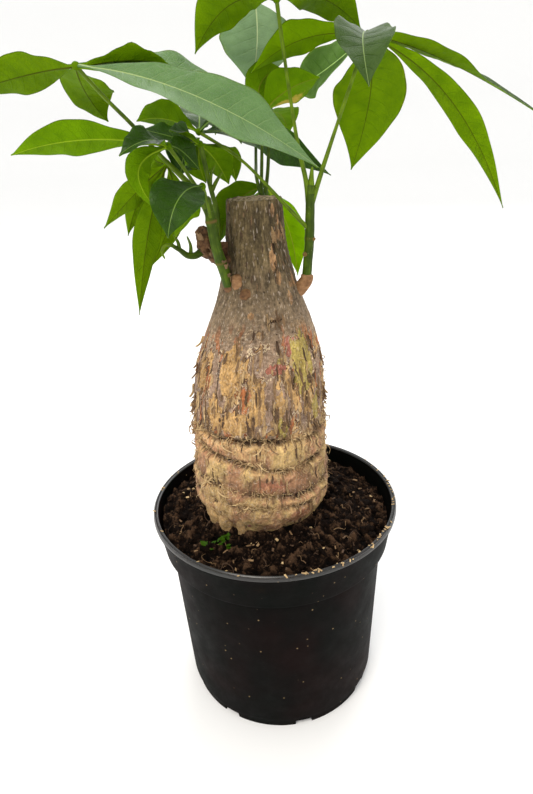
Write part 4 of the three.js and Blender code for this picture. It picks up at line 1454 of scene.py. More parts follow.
SHOOTS = (
    Shoot("right_shoot", Stem(
        ((19.3, -3, 229.4), (20.2, -3, 239), (21.1, -3, 248.5), (21.4, -3, 259), (21.9, -3, 272)),
        (2.2, 2.15, 2.1, 2, 1.9), joints=(0.46,), tone=0.35,
    ), (
        Stem(
            ((20.9, -3, 264), (20, -3.4, 273), (16.9, -4, 287), (13.1, -4, 313), (10, -4, 338)),
            (1.2, 0.9, 0.67, 0.67, 0.81),
        ),
        Stem(
            ((22.5, -3, 264), (25, -3, 271.5), (30.4, -4, 287), (38, -5, 307.7), (44.5, -6, 325)),
            (1.2, 0.95, 0.7, 0.67, 0.89),
        ),
        Stem(
            ((21, -3, 253), (14.6, -6.2, 260), (9.9, -8.8, 265.2), (-7.2, -10, 283.2), (-23.4, -5, 294)),
            (1, 0.8, 0.63, 0.59, 0.74),
        ),
        # The bud, and the corky scars of two fallen leaves.
        Stem(((22, -3.2, 268), (22.3, -3.3, 274), (22.7, -3.4, 278.5)), (1.9, 1.2, 0.6), tone=1.0),
        Stem(((22.4, -4, 248.8), (23.6, -4.4, 249.2)), (0.7, 0.5), joints=(0.0, 0.3, 0.7, 1.0)),
        Stem(((19.3, -4, 242.6), (18, -4.6, 242.2)), (0.9, 0.7), joints=(0.0, 0.3, 0.7, 1.0)),
    )),
    Shoot("left_shoot", Stem(
        ((-15.5, -10, 231.8), (-17.4, -12, 240), (-19.2, -14, 248), (-20.6, -16, 260), (-21.6, -16, 270)),
        (2.4, 2.4, 2.3, 2.2, 1.6), joints=(0.3, 0.75), tone=0.5,
    ), (
        Stem(
            (
                (-21, -16, 263), (-25.4, -17, 272), (-37.6, -22, 286.5), (-45.2, -29, 297),
                (-51.7, -44.5, 307), (-57, -50, 314.7),
            ),
            (1.18, 1.04, 0.81, 0.74, 0.67, 0.67),
        ),
        Stem(
            ((-21, -16, 261), (-22.8, -18, 269), (-27.4, -26, 279.7), (-32.6, -33, 289.6)),
            (0.89, 0.81, 0.67, 0.81),
        ),
        Stem(
            ((-20.6, -16, 258), (-23.4, -14.4, 266), (-28.8, -11.4, 274), (-37.1, -9, 283)),
            (0.89, 0.81, 0.67, 0.74),
        ),
        Stem(((-20.5, -15.5, 258), (-20.8, -20, 266), (-22, -25, 274.6)), (0.81, 0.67, 0.81)),
    )),
    Shoot("back_shoot", Stem(
        ((-1, 10, 236), (0, 14.6, 243), (0.6, 16.4, 256), (1, 17, 268)), (2.2, 2, 1.8, 1.4), tone=0.25
    ), (
        Stem(
            ((0.8, 16.6, 258), (1, 16.6, 268), (2, 17, 285), (2.8, 17, 300)),
            (0.96, 0.81, 0.74, 0.81), tone=0.3,
        ),
        Stem(
            ((1, 17, 260), (4, 20, 274), (5.4, 23, 288), (8, 37, 312), (7, 45, 335), (2, 41, 347.4)),
            (0.96, 0.81, 0.74, 0.67, 0.67, 0.81), tone=0.3,
        ),
        Stem(((1, 17, 264), (-1, 24, 274), (-1, 38, 279), (0, 54, 298.5)), (0.81, 0.81, 0.74, 0.81), tone=0.3),
        Stem(((0.6, 16.4, 252), (3, 20, 259), (3.2, 25, 269.8)), (0.89, 0.81, 0.81), tone=0.3),
    )),
    Shoot("knob_shoot", Stem(
        ((-19.5, -4.4, 248.5), (-18.7, -5.4, 256), (-18.6, -6, 263), (-20.2, -7.4, 272), (-22.7, -12, 289.5)),
        (1.4, 1.2, 1, 0.9, 1), tone=0.6,
    ), (
        Stem(((-20, -7, 271), (-17.6, -9, 275), (-14.8, -9.8, 278.6)), (0.9, 0.8, 0.35), tone=0.8),
        Stem(((-20.4, -7.6, 273), (-19.4, -9.4, 278), (-17.6, -10, 281.4)), (0.8, 0.7, 0.35), tone=0.8),
    )),
    Shoot("curled_sprout", Stem(
        ((-26.6, -7.6, 246.4), (-29, -9, 245.2), (-32.2, -11, 245.8), (-35, -14, 248.8), (-37.6, -17, 251.3)),
        (1.7, 1.5, 1.3, 1, 0.8), tone=0.4,
    ), (
        Stem(
            ((-37, -16.4, 251), (-40.2, -19, 251.8), (-41.6, -20, 249.4), (-40.7, -20, 246.4)),
            (0.8, 0.7, 0.6, 0.35),
        ),
        Stem(((-35, -14, 248.8), (-35.4, -14.6, 252.4), (-37, -15, 255.4)), (0.9, 0.7, 0.35), tone=0.7),
        Stem(((-31, -10, 245.6), (-30.6, -11, 250), (-31.6, -12, 254)), (1, 0.7, 0.35), tone=0.7),
    )),
)


# ------------------------------------------------------------------ trunk


@dataclass(frozen=True)
class Patch:
    """A place on the trunk where the bark has peeled or stained, or a gash darkened with painted shade."""

    mask: str
    angle: float  # degrees round the trunk; -90 is the front
    height: float
    half_width: float
    half_height: float
    sunk: float = 0.45
    ragged: float = 0.35


@dataclass(frozen=True)
class Crease:
    """A ring pinched into the foot of the trunk, which runs higher on the left by its lean."""

    level: float
    depth: float
    half_width: float
    lean: float
    at: float  # degrees; near here, over the span, it runs higher by the sag
    sag: float
    span: float

    def height(self, angle: float) -> float:
        """Gives the height of the crease at an angle."""
        sag = self.sag * bell(degrees_between(angle, self.at), self.span)
        return self.level + sag - self.lean * math.cos(angle)


class Wood(Enum):
    """A kind of limb on the trunk, by what its material reads."""

    # relief is painted light and shade, and crevice_shade painted shade, as the bark reads them.
    SHEATH = {"dead": 0.0, "relief": 0.5}
    RING = {"dead": 0.7, "relief": 0.5}
    DEAD = {"dead": 1.0, "relief": 0.5}
    ROOT = {"plate": 0.45, "relief": 0.6}
    BURIED = {"plate": 0.4, "relief": 0.3, "crevice_shade": 0.3}


# The kind, roughness, radii and way points of each collar, of the dead knob and of the root stubs.
LIMBS: Sequence[tuple[Wood, float, Sequence[float], Sequence[Point]]] = (
    (Wood.SHEATH, 0.09, (4, 3.4, 3, 2.7),
     ((11, -2, 224.5), (16.6, -2.8, 227.2), (19.2, -3, 230.4), (19.8, -3, 234))),
    (Wood.RING, 0.14, (5.6, 3.9, 2.6), ((-8, -5, 226), (-13.6, -8.8, 228.6), (-15.6, -10.4, 232.4))),
    (Wood.SHEATH, 0.2, (4.5, 2.9, 2.0), ((-8, -8, 227), (-11.0, -12.4, 232), (-11.8, -14.2, 237))),
    (Wood.RING, 0.3, (4.4, 3.6, 2.4), ((-4, -9, 224), (-8, -15.2, 228.2), (-9.4, -17.0, 229.6))),
    (Wood.SHEATH, 0.15, (5, 4.2, 3.2), ((-2, 6, 228), (-1.4, 9.6, 235), (-0.4, 13.6, 240.6))),
    (Wood.DEAD, 0.62, (5, 4.6, 4.6, 2.2),
     ((-10, -2, 239), (-19, -4, 245.4), (-24.2, -5.6, 248.8), (-25.8, -6, 257))),
    (Wood.ROOT, 0.2, (6, 6.4, 5, 2.6),
     ((-24, -11, 142), (-29, -15.5, 130), (-29.5, -17.5, 118), (-27.5, -17.5, 103))),
    (Wood.ROOT, 0.25, (5, 5.4, 4, 2.2),
     ((-20, -17, 139), (-23.5, -22, 128), (-24.5, -23, 117), (-23, -22, 103))),
    (Wood.ROOT, 0.25, (4, 4, 2.8, 2),
     ((-12, -22, 136), (-15, -26.5, 127), (-16.5, -27, 117), (-16.5, -25.5, 103))),
)


@dataclass
class Trunk:
    """The swollen, sawn-off trunk with its collars, dead knob and root stubs."""

    MASKS = ("ochre", "lime", "red", "tan", "blush", "crevice_shade", "film")

    axis: Pair = (-2.5, 0.0)
    swell_x: float = -3.0
    leaning: Pair = (165.0, 225.0)
    profile: Sequence[Pair] = (
        (66, 9), (74, 17), (86, 22), (98, 25), (108, 27.3), (115, 31), (122, 34.3), (134, 34),
        (146, 33), (158, 32.6), (170, 32.3), (180, 31.9), (190, 30.7), (199, 28.8), (207, 25.9),
        (215, 22.8), (224, 19.4), (233, 16.6), (243, 14.4), (256, 12.7), (267, 12.1),
    )
    creases: Sequence[Crease] = (
        Crease(127.0, 0.9, 1.3, 0.6, -109, 1.4, 30),
        Crease(134.0, 1.6, 1.5, 3.3, -103, 1.5, 35),
        Crease(151.2, 2.0, 1.6, 4.2, -71, -3.4, 26),
        Crease(161.4, 1.8, 1.5, 3.4, -79, 2.2, 40),
    )
    patches: Sequence[Patch] = (
        Patch("ochre", -116, 196, 6.0, 12.5),
        Patch("ochre", -151, 192, 3.4, 8.0),
        Patch("ochre", -110, 173, 7.6, 6.6),
        Patch("ochre", -92, 181, 4.6, 13.0, ragged=0.6),
        Patch("ochre", -130, 176, 5.0, 9.0, ragged=0.6),
        Patch("ochre", -72, 178, 3.2, 10.0, ragged=0.6),
        Patch("ochre", -40, 180, 4.5, 9.0, ragged=0.6),
        Patch("ochre", 20, 185, 8.0, 14.0),
        Patch("ochre", 95, 180, 9.0, 16.0),
        Patch("ochre", 150, 190, 7.0, 13.0),
        Patch("film", -76, 182, 8.0, 13.0, sunk=0.0),
        Patch("film", -92, 203, 9.0, 9.0, sunk=0.0),
        Patch("lime", -45, 196, 7.4, 15.0),
        Patch("lime", -30, 172, 3.4, 8.0, ragged=0.6),
        Patch("lime", -70, 200.5, 2.0, 1.6),
        Patch("lime", -70, 168, 3.0, 6.0, ragged=0.6),
        Patch("lime", 60, 200, 6.0, 10.0),
        Patch("red", -58, 207, 2.4, 5.5, sunk=0.1, ragged=0.6),
        Patch("red", -74, 197, 6.0, 2.6, sunk=0.0, ragged=0.6),
        Patch("blush", -58, 120, 8.0, 5.0, sunk=0.0),
        Patch("blush", -84, 140, 9.0, 4.0, sunk=0.0, ragged=0.7),
        Patch("red", -103, 117, 1.5, 1.2, sunk=-0.3),
        Patch("crevice_shade", -70.5, 217.2, 3.4, 1.0, sunk=0.9, ragged=0.2),
        Patch("crevice_shade", -57, 189, 1.1, 4.0, sunk=0.9),
        Patch("crevice_shade", -38, 167, 1.2, 1.6, sunk=1.2),
        Patch("crevice_shade", -48, 125.5, 1.6, 1.3, sunk=0.8, ragged=0.5),
        Patch("tan", -100, 220, 1.5, 1.5, sunk=-0.3),
        Patch("tan", -43, 252.5, 3.0, 2.4, sunk=-0.5, ragged=0.7),
        Patch("tan", -53, 262, 1.1, 2.6, sunk=-0.4, ragged=0.7),
        Patch("tan", -40, 258, 0.9, 2.4, sunk=-0.4, ragged=0.7),
        Patch("tan", -61, 243, 1.5, 6.0, sunk=-0.2, ragged=0.9),
        Patch("tan", -55, 235, 1.3, 3.4, sunk=-0.2, ragged=0.9),
        Patch("tan", -24, 233, 1.3, 3.0, sunk=-0.4, ragged=0.6),
        Patch("tan", -42, 225.5, 1.4, 3.2, sunk=-0.4, ragged=0.6),
        Patch("tan", -34, 231, 1.2, 1.4, sunk=-0.3, ragged=0.6),
        Patch("crevice_shade", -58, 248, 0.7, 4.0, sunk=0.6, ragged=0.8),
        Patch("crevice_shade", -57, 239, 0.7, 3.0, sunk=0.6, ragged=0.8),
        Patch("crevice_shade", -128, 193, 0.5, 9.0, sunk=0.5, ragged=0.9),
    )
    left_on: float = 0.16  # how much less peels off where the film has stayed
    top_z: float = 267.0
    seen_from: float = 97.0  # the fine skin starts just under the soil
    sides: int = 284
    rings: int = 288
    ends: Pair = (0.05, 0.95)  # where the buried share of the grid ends, and where the sawn top starts

    def middle(self, height: float) -> Vector:
        """Gives the middle of the trunk at a height."""
        lean = self.swell_x * (1 - smooth(height, *self.leaning))
        return Vector((self.axis[0] + lean, self.axis[1], height))

    def patch_share(self, patch: Patch, angle: float, height: float) -> float:
        """Finds how much of a patch there is at a point, with a ragged edge.

        Args:
            patch: the patch.
            angle: the angle round the trunk.
            height: the height above the table.

        Returns:
            0 off the patch to 1 on it.
        """
        away = (angle - math.radians(patch.angle) + math.pi) % math.tau - math.pi
        if abs(height - patch.height) > 2 * patch.half_height:
            return 0.0
        arc = away * curve_through(self.profile, height)
        if abs(arc) > 2 * patch.half_width:
            return 0.0
        rough = noise.fractal(Vector((arc * 0.5, height * 0.22, patch.angle)), 1.0, 2.2, 4)
        reach = math.hypot(arc / patch.half_width, (height - patch.height) / patch.half_height)
        return 1 - smooth(reach + patch.ragged * rough, 0.7, 1.1)

    def skin(self, angle: float, height: float) -> tuple[float, dict[str, float]]:
        """Finds the bark at an angle and a height.

        Args:
            angle: the angle round the trunk.
            height: the height above the table.

        Returns:
            The bark's distance from the middle, and what the material reads there.
        """
        plain = curve_through(self.profile, height)
        swollen = smooth(height, 100, 118) * (1 - smooth(height, 215, 250))
        foot = 1 - smooth(height, 158, 168)
        peeling = smooth(height, 112, 130) * (1 - smooth(height, 196, 214))
        lobes = 0.014 * math.sin(2 * angle + 0.8) + 0.012 * math.sin(3 * angle + height / 26)
        radius = plain * (1 + swollen * lobes) - 0.35 * peeling
        ring = outward(angle) * plain
        streaks = noise.fractal(Vector((ring.x * 0.42, ring.y * 0.42, height * 0.055)), 0.9, 2.1, 4)
        long = 0.075 * foot + 0.055 * (1 - foot)
        bent = angle + 0.2 * noise.noise(Vector((ring.x * 0.06, ring.y * 0.06, height * 0.05)))
        torn = outward(bent) * plain
        plate = 0.5 + 0.4 * noise.fractal(Vector((torn.x * 0.1, torn.y * 0.1, height * long + 9)), 0.8, 2.1, 4)
        shred = Vector((torn.x * 0.34, torn.y * 0.34, height * 0.05 + 31))
        ribbon = 0.5 + 0.4 * noise.fractal(shred, 0.8, 2.1, 3)
        streak = (0.45 - 0.25 * peeling) * (1 - 0.6 * bell(height - 218, 13)) * streaks
        radius += streak
        radius -= (0.4 * smooth(plate, 0.54, 0.59) + 0.35 * smooth(ribbon, 0.6, 0.66)) * peeling * (1 - foot)
        # A few level wrinkles cross the shoulder on the left of the front.
        wrinkled = 0.25 * bell(degrees_between(angle, -118), 36) * bell(height - 209.5, 3.4)
        wrinkle = wrinkled * math.sin(3.6 * height + 4 * noise.noise(ring * 0.2))
        radius += wrinkle
        values = dict.fromkeys(self.MASKS, 0.0) | {"plate": plate, "ribbon": ribbon}
        roll = 0.0
        for crease in self.creases:
            bend = 0.9 * noise.noise(Vector((ring.x * 0.12, ring.y * 0.12, crease.level)))
            bend += 0.6 * noise.noise(Vector((ring.x * 0.4, ring.y * 0.4, crease.level)))
            away = height - crease.height(angle) - bend
            if abs(away) > 9:
                continue
            uneven = 0.9 * noise.noise(Vector((ring.x * 0.09, ring.y * 0.09, crease.level + 5)))
            strength = min(1.3, max(0.15, 0.75 + 0.25 * math.sin(2 * angle + crease.level) + uneven))
            cut = bell(away, crease.half_width * (0.6 + 0.5 * strength))
            rolls = bell(away - 3.0, 2.4) + bell(away + 3.0, 2.4)
            # Painted light on the roll just below the crease, and painted shade in the crease and just above it,
            # where the band overhangs.
            roll = max(roll, bell(away + 2.6, 2.2) * min(1.0, strength)) - 0.6 * cut * strength
            roll -= 0.9 * bell(away - 2.6, 2.8) * min(1.0, strength)
            radius += crease.depth * (0.5 * rolls * min(1.0, strength + 0.2) - 1.35 * strength * cut)
            # The crease is darkened with painted shade.
            fray = noise.noise(Vector((ring.x * 0.8, ring.y * 0.8, height * 0.8)))
            values["crevice_shade"] = max(values["crevice_shade"], min(1.0, (0.95 + 0.9 * fray) * cut * strength))
        for patch in self.patches:
            share = self.patch_share(patch, angle, height)
            if share > 0:
                radius -= patch.sunk * smooth(share, 0.3, 0.7)
                values[patch.mask] = max(values[patch.mask], share)
        for name in ("plate", "ribbon"):
            values[name] -= self.left_on * values["film"]
        radius += foot * 1.1 * noise.fractal(ring * 0.13 + Vector((0, 0, height * 0.1)), 1.0, 2.0, 3)
        fine = noise.fractal(Vector((ring.x * 1.3, ring.y * 1.3, height * 0.6)), 0.9, 2.2, 3)
        radius += (0.14 + 0.1 * foot) * fine
        # The relief layer is painted light and shade that follow the streaks, the grain, the wrinkles and the
        # rolls of the creases; it is also darker in a band round 140 mm.
        relief = 0.5 + streak + 0.3 * fine + 0.4 * roll + wrinkle - 0.18 * bell(height - 140, 12)
        values["relief"] = min(1.0, max(0.0, relief))
        return radius, values

    def point(self, angle: float, height: float, out: float = 0.0) -> Vector:
        """Gives a point on the bark, or a little way outside it."""
        return self.middle(height) + outward(angle) * (self.skin(angle, height)[0] + out)

    def add_barrel(self, mesh: Mesh, coat: Coat) -> None:
        """Adds the trunk itself, whose top is sawn flat and has a ragged rim.

        Args:
            mesh: the trunk's mesh.
            coat: the layers that the material reads.
        """
        made = bmesh.ops.create_grid(mesh, x_segments=self.sides, y_segments=self.rings, size=0.5)["verts"]
        foot_share, top_share = self.ends
        for face in {face for corner in made for face in corner.link_faces}:
            face.material_index = int(face.calc_center_median().y + 0.5 > top_share)
        foot_z = self.profile[0][0]
        for corner in made:
            angle, share = math.tau * (corner.co.x + 0.5), corner.co.y + 0.5
            if share <= foot_share:
                height = foot_z + (self.seen_from - foot_z) * share / foot_share
            else:
                part = min(1.0, (share - foot_share) / (top_share - foot_share))
                height = self.seen_from + (self.top_z - self.seen_from) * part
            radius, values = self.skin(angle, height)
            out = outward(angle)
            ragged = 0.5 * noise.noise(Vector((9 * out.x, 9 * out.y, 4.0)))
            place = self.middle(height) + out * radius
            place.z += ragged * smooth(height, self.top_z - 3, self.top_z)
            if share > top_share + 1e-6:
                inward = min(1.0, (share - top_share) / (1 - top_share))
                place = self.middle(height) + out * (radius * (1 - inward))
                check = noise.fractal(Vector((place.x * 0.5, place.y * 0.5, 3.0)), 1.0, 2.0, 4)
                place.z += ragged * (1 - smooth(inward, 0, 0.2)) + 0.5 * check * smooth(inward, 0, 0.1)
                place.z -= 0.5 * smooth(inward, 0, 0.15)
            corner.co = place * MM
            coat.put(corner, **values)
        bmesh.ops.remove_doubles(mesh, verts=made, dist=1e-7)

    def add_wood(self, mesh: Mesh, coat: Coat) -> None:
        """Adds the limbs and the buried roots.

        Args:
            mesh: the trunk's mesh.
            coat: the layers that the material reads.
        """
        for order, (kind, rough, radii, way) in enumerate([*LIMBS, *self.buried_roots()]):
            path, stem = Path(way), Stem(way, radii)

            def radius(angle: float, share: float) -> float:
                """Gives a gnarled radius at an angle and a share of the way.

                Args:
                    angle: the angle round it.
                    share: how much of the way lies behind.

                Returns:
                    The radius in mm.
                """
                lie = Vector((0, 0, share * path.length / 5 + 9 * order))
                coarse = noise.fractal(outward(angle) * 1.2 + lie, 1.0, 2.0, 4)
                return stem.radius(share) * (1 + rough * coarse) * (1 - 0.5 * smooth(share, 0.9, 1.0) ** 2)

            sides, ring = (16, 2.0) if kind is Wood.BURIED else (36, 0.6)
            made = add_tube(mesh, coat, path, radius, sides, max(10, round(path.length / ring)), **kind.value)
            for face in {face for corner in made for face in corner.link_faces if "dead" in kind.value}:
                face.material_index = 2

    @staticmethod
    def buried_roots() -> list[tuple[Wood, float, Sequence[float], Sequence[Point]]]:
        """Lists the six roots that spread and sink in the soil, as LIMBS does.

        Returns:
            The roots, with the same values as LIMBS holds.
        """
        roots = []
        for order in range(6):
            angle = 0.5 + math.tau * order / 6
            way = [(10.0, 88.0, 0.0), (21.0, 70.0, 0.1), (40.0, 44.0, 0.25)]
            points = tuple(
                (-5.5 + reach * math.cos(angle + turn), reach * math.sin(angle + turn), height)
                for reach, height, turn in way
            )
            roots.append((Wood.BURIED, 0.15, (4.2, 2.9, 1.6), points))
        return roots

    def build(self, bark: Material, cut: Material, cork: Material) -> Piece:
        """Builds the trunk and puts it in the place of its solid.

        Args:
            bark: what its skin is dressed in.
            cut: what the sawn top is dressed in.
            cork: what the collars and the knob are dressed in.

        Returns:
            The trunk.
        """
        mesh = bmesh.new()
        coat = Coat(mesh, *self.MASKS, "relief", "plate", "ribbon", "dead", "along", "across")
        self.add_barrel(mesh, coat)
        self.add_wood(mesh, coat)
        close_up(mesh)
        return finished_piece("trunk_bark", mesh, [bark, cut, cork], ["trunk"], crease=70)


@dataclass
class LooseBark:
    """Flakes that peel off the trunk, and dry fibres that hang in its creases."""

    trunk: Trunk
    seed: int = 11
    thickness: float = 0.14
    # The angle and height of each cluster of thick shreds.
    shreds: Sequence[Pair] = (
        (-134, 156), (-143, 141), (-130, 135), (-106, 130), (-99, 153), (-120, 163), (-83, 161), (-56, 147.5),
        (-150, 158), (-40, 161),
    )

    def add_flake(self, mesh: Mesh, coat: Coat, seat: Pair, size: Pair, curl: Pair, tone: float) -> None:
        """Adds one thin flake that lies on the bark and lifts at its edges.

        Args:
            mesh: the flakes' mesh.
            coat: the layers that the material reads.
            seat: its angle and height on the trunk.
            size: its width and height in mm.
            curl: how far its side edges and its lower end stand off, in mm.
            tone: how pale it is, from 0 to 1.
        """
        angle, height = seat
        across = curve_through(self.trunk.profile, height)
        spin = 13.0 * tone + angle + height

        def shape(u: float, v: float) -> Vector:
            """Gives a point of the flake.

            Args:
                u: the place across, from 0 to 1.
                v: the place along, from 0 to 1.

            Returns:
                The point in mm.
            """
            side, up = 2 * u - 1, 2 * v - 1
            narrow = 1 - 0.8 * abs(up) ** 1.2 + 0.5 * noise.noise(Vector((spin, 2.5 * up, side)))
            lean = 1.4 * noise.noise(Vector((spin, 7.0, 1.0))) * up
            lean += 0.5 * noise.noise(Vector((spin, 3 * up, 5.0)))
            turn = (side * max(0.08, narrow) + lean) * size[0] / 2 / across
            lift = 0.05 + curl[0] * side * side + curl[1] * smooth(-up, 0.0, 1.0) ** 2
            jag = 0.2 * noise.noise(Vector((spin, 4 * side, 5 * up)))
            return self.trunk.point(angle + turn, height + (up + jag) * size[1] / 2, lift)

        for corner in mapped_grid(mesh, 3, 5, shape):
            coat.put(corner, tone=tone)

    def flakes(self, finish: Material) -> Piece:
        """Builds the flakes: upright slivers on the neck, wider scales on the swelling.

        Args:
            finish: what they are dressed in.

        Returns:
            The flakes.
        """
        dice = random.Random(self.seed)
        mesh = bmesh.new()
        coat = Coat(mesh, "tone")
        for _ in range(150):
            height = dice.uniform(226, 265)
            size = (dice.uniform(0.3, 0.8), dice.uniform(1.4, 4.5))
            seat, curl = (dice.uniform(-math.pi, math.pi), height), (0.05, dice.uniform(0.0, 0.3))
            self.add_flake(mesh, coat, seat, size, curl, dice.uniform(-0.3, 0.3))
        for _ in range(420):
            height = dice.triangular(124, 208, 176)
            size = (dice.uniform(0.4, 1.6), dice.uniform(2.0, 9.0))
            seat = (dice.uniform(-math.pi, math.pi), height)
            curl = (dice.uniform(0.0, 0.4), dice.uniform(0.0, 1.2))
            self.add_flake(mesh, coat, seat, size, curl, dice.uniform(-0.1, 0.85))
        # On both sides, as the photograph shows them, long shards stand off.
        for order in range(15):
            angle = math.radians(dice.gauss(182 if order % 3 else -4, 6))
            size = (dice.uniform(0.8, 2.0), dice.uniform(3.0, 8.0))
            seat, curl = (angle, dice.uniform(168, 206)), (dice.uniform(0.4, 1.3), dice.uniform(0.8, 2.0))
            self.add_flake(mesh, coat, seat, size, curl, dice.uniform(0.0, 0.7))
        # The edges of the bare patches stand up in scales.
        for patch in self.trunk.patches:
            if patch.half_width < 2.5 or patch.mask == "red":
                continue
            for _ in range(9):
                turn = dice.uniform(0, math.tau)
                height = patch.height + patch.half_height * 1.05 * math.sin(turn)
                arc = patch.half_width * 1.08 * math.cos(turn)
                angle = math.radians(patch.angle) + arc / curve_through(self.trunk.profile, height)
                size = (dice.uniform(0.5, 1.5), dice.uniform(2.0, 7.0))
                curl = (dice.uniform(0.1, 0.5), dice.uniform(0.1, 0.9))
                self.add_flake(mesh, coat, (angle, height), size, curl, dice.uniform(-0.1, 0.6))
        thicken(mesh, self.thickness)
        return finished_piece("bark_flakes", mesh, [finish])

    def sheaths(self, finish: Material) -> Piece:
        """Builds the curled papery sheaths that stand round the left shoot's foot and the knob.

        Args:
            finish: what they are dressed in.

        Returns:
            The sheaths.
        """
        dice = random.Random(self.seed + 2)
        mesh = bmesh.new()
        coat = Coat(mesh, "tone")
        on_shoot = [
            ((-16.4 - 0.22 * rise, -11.2 - 0.2 * rise, 233.5 + rise), 2.5)
            for rise in (0, 2.5, 6.2, 8.4)
        ]
        on_knob = [
            ((-22 + dice.uniform(-4, 3), -5.6 + dice.uniform(-3.5, 1), 247 + dice.uniform(-4, 8)), 2.6)
            for _ in range(13)
        ]
        for order, (seat, reach) in enumerate(on_shoot + on_knob):
            start = dice.uniform(-1.3, -0.3) if order < len(on_shoot) else dice.uniform(-3.0, 0.4)
            span, tall = dice.uniform(0.6, 1.5), dice.uniform(1.2, 3.4)
            flare = dice.uniform(0.3, 1.3)

            def shape(u: float, v: float) -> Vector:
                """Gives a point of one curled sheath.

                Args:
                    u: the place across, from 0 to 1.
                    v: the place along, from 0 to 1.

                Returns:
                    The point in mm.
                """
                torn = 1 + 0.45 * noise.noise(Vector((3.5 * u, 5.0 * order, 1.0)))
                out = reach + flare * v * v + 0.3 * noise.noise(Vector((2.0 * u, 2.0 * v, 7.0 * order)))
                around = outward(start + span * (u - 0.3 * v)) * out
                return Vector(seat) + around + Vector((0, 0, tall * v * torn))

            tone = dice.uniform(0.1, 0.6) if order < len(on_shoot) else dice.uniform(-0.2, 0.45)
            for corner in mapped_grid(mesh, 7, 4, shape):
                coat.put(corner, tone=tone)
        thicken(mesh, self.thickness)
        return finished_piece("papery_sheaths", mesh, [finish])

    def fibres(self, finish: Material) -> Piece:
        """Builds the fibres along the creases and the tufts at both sides.

        Args:
            finish: what they are dressed in.

        Returns:
            The fibres.
        """
        dice = random.Random(self.seed + 1)
        mesh = bmesh.new()
        coat = Coat(mesh, "tone", "along", "across")
        roots: list[Point] = []  # the angle, the height and how long each is
        for crease in self.trunk.creases:
            for order in range(210):
                anywhere = order % 3 == 0
                angle = dice.uniform(-math.pi, math.pi) if anywhere else math.radians(dice.gauss(-90, 45))
                roots.append((angle, crease.height(angle) + dice.gauss(0.4, 1.7), dice.uniform(0.7, 1.3)))
        for angle, height in self.shreds:
            for _ in range(11):
                seat = (math.radians(dice.gauss(angle, 5)), height + dice.gauss(0, 1.4))
                roots.append((*seat, dice.uniform(1.55, 1.9)))
        roots += [(math.radians(dice.gauss(-165, 8)), dice.uniform(150, 176), 1.8) for _ in range(44)]
        roots += [(math.radians(dice.gauss(-12, 6)), dice.uniform(162, 169), 1.7) for _ in range(16)]
        roots += [(math.radians(dice.gauss(-8, 8)), dice.uniform(150, 200), 1.2) for _ in range(24)]
        roots += [(dice.uniform(-math.pi, math.pi), dice.uniform(118, 205), 0.9) for _ in range(150)]
        for angle, height, long in roots:
            reach = long * dice.uniform(1.6, 4.6)
            drop, drift = dice.uniform(-0.9, 0.5) * reach, dice.uniform(-0.9, 0.9) * reach
            around = curve_through(self.trunk.profile, height)
            lift = dice.uniform(0.15, 0.55) * reach
            way = []
            for step in range(4):
                share = step / 3
                bent = angle + (drift * share + 0.3 * reach * dice.uniform(-share, share)) / around
                out = -0.3 + lift * math.sin(share * dice.uniform(1.4, 2.4))
                way.append(tuple(self.trunk.point(bent, height + drop * share**1.4, out)))
            thick = dice.uniform(0.12, 0.27) * (1.8 if long > 1.5 else 1.0)
            tone = dice.uniform(0.2, 1.0)
            add_tube(mesh, coat, Path(way), lambda _, share: thick * (1 - 0.6 * share), 4, 7, tone=tone)
        close_up(mesh)
        return finished_piece("bark_fibres", mesh, [finish])


# ------------------------------------------------------------------ soil


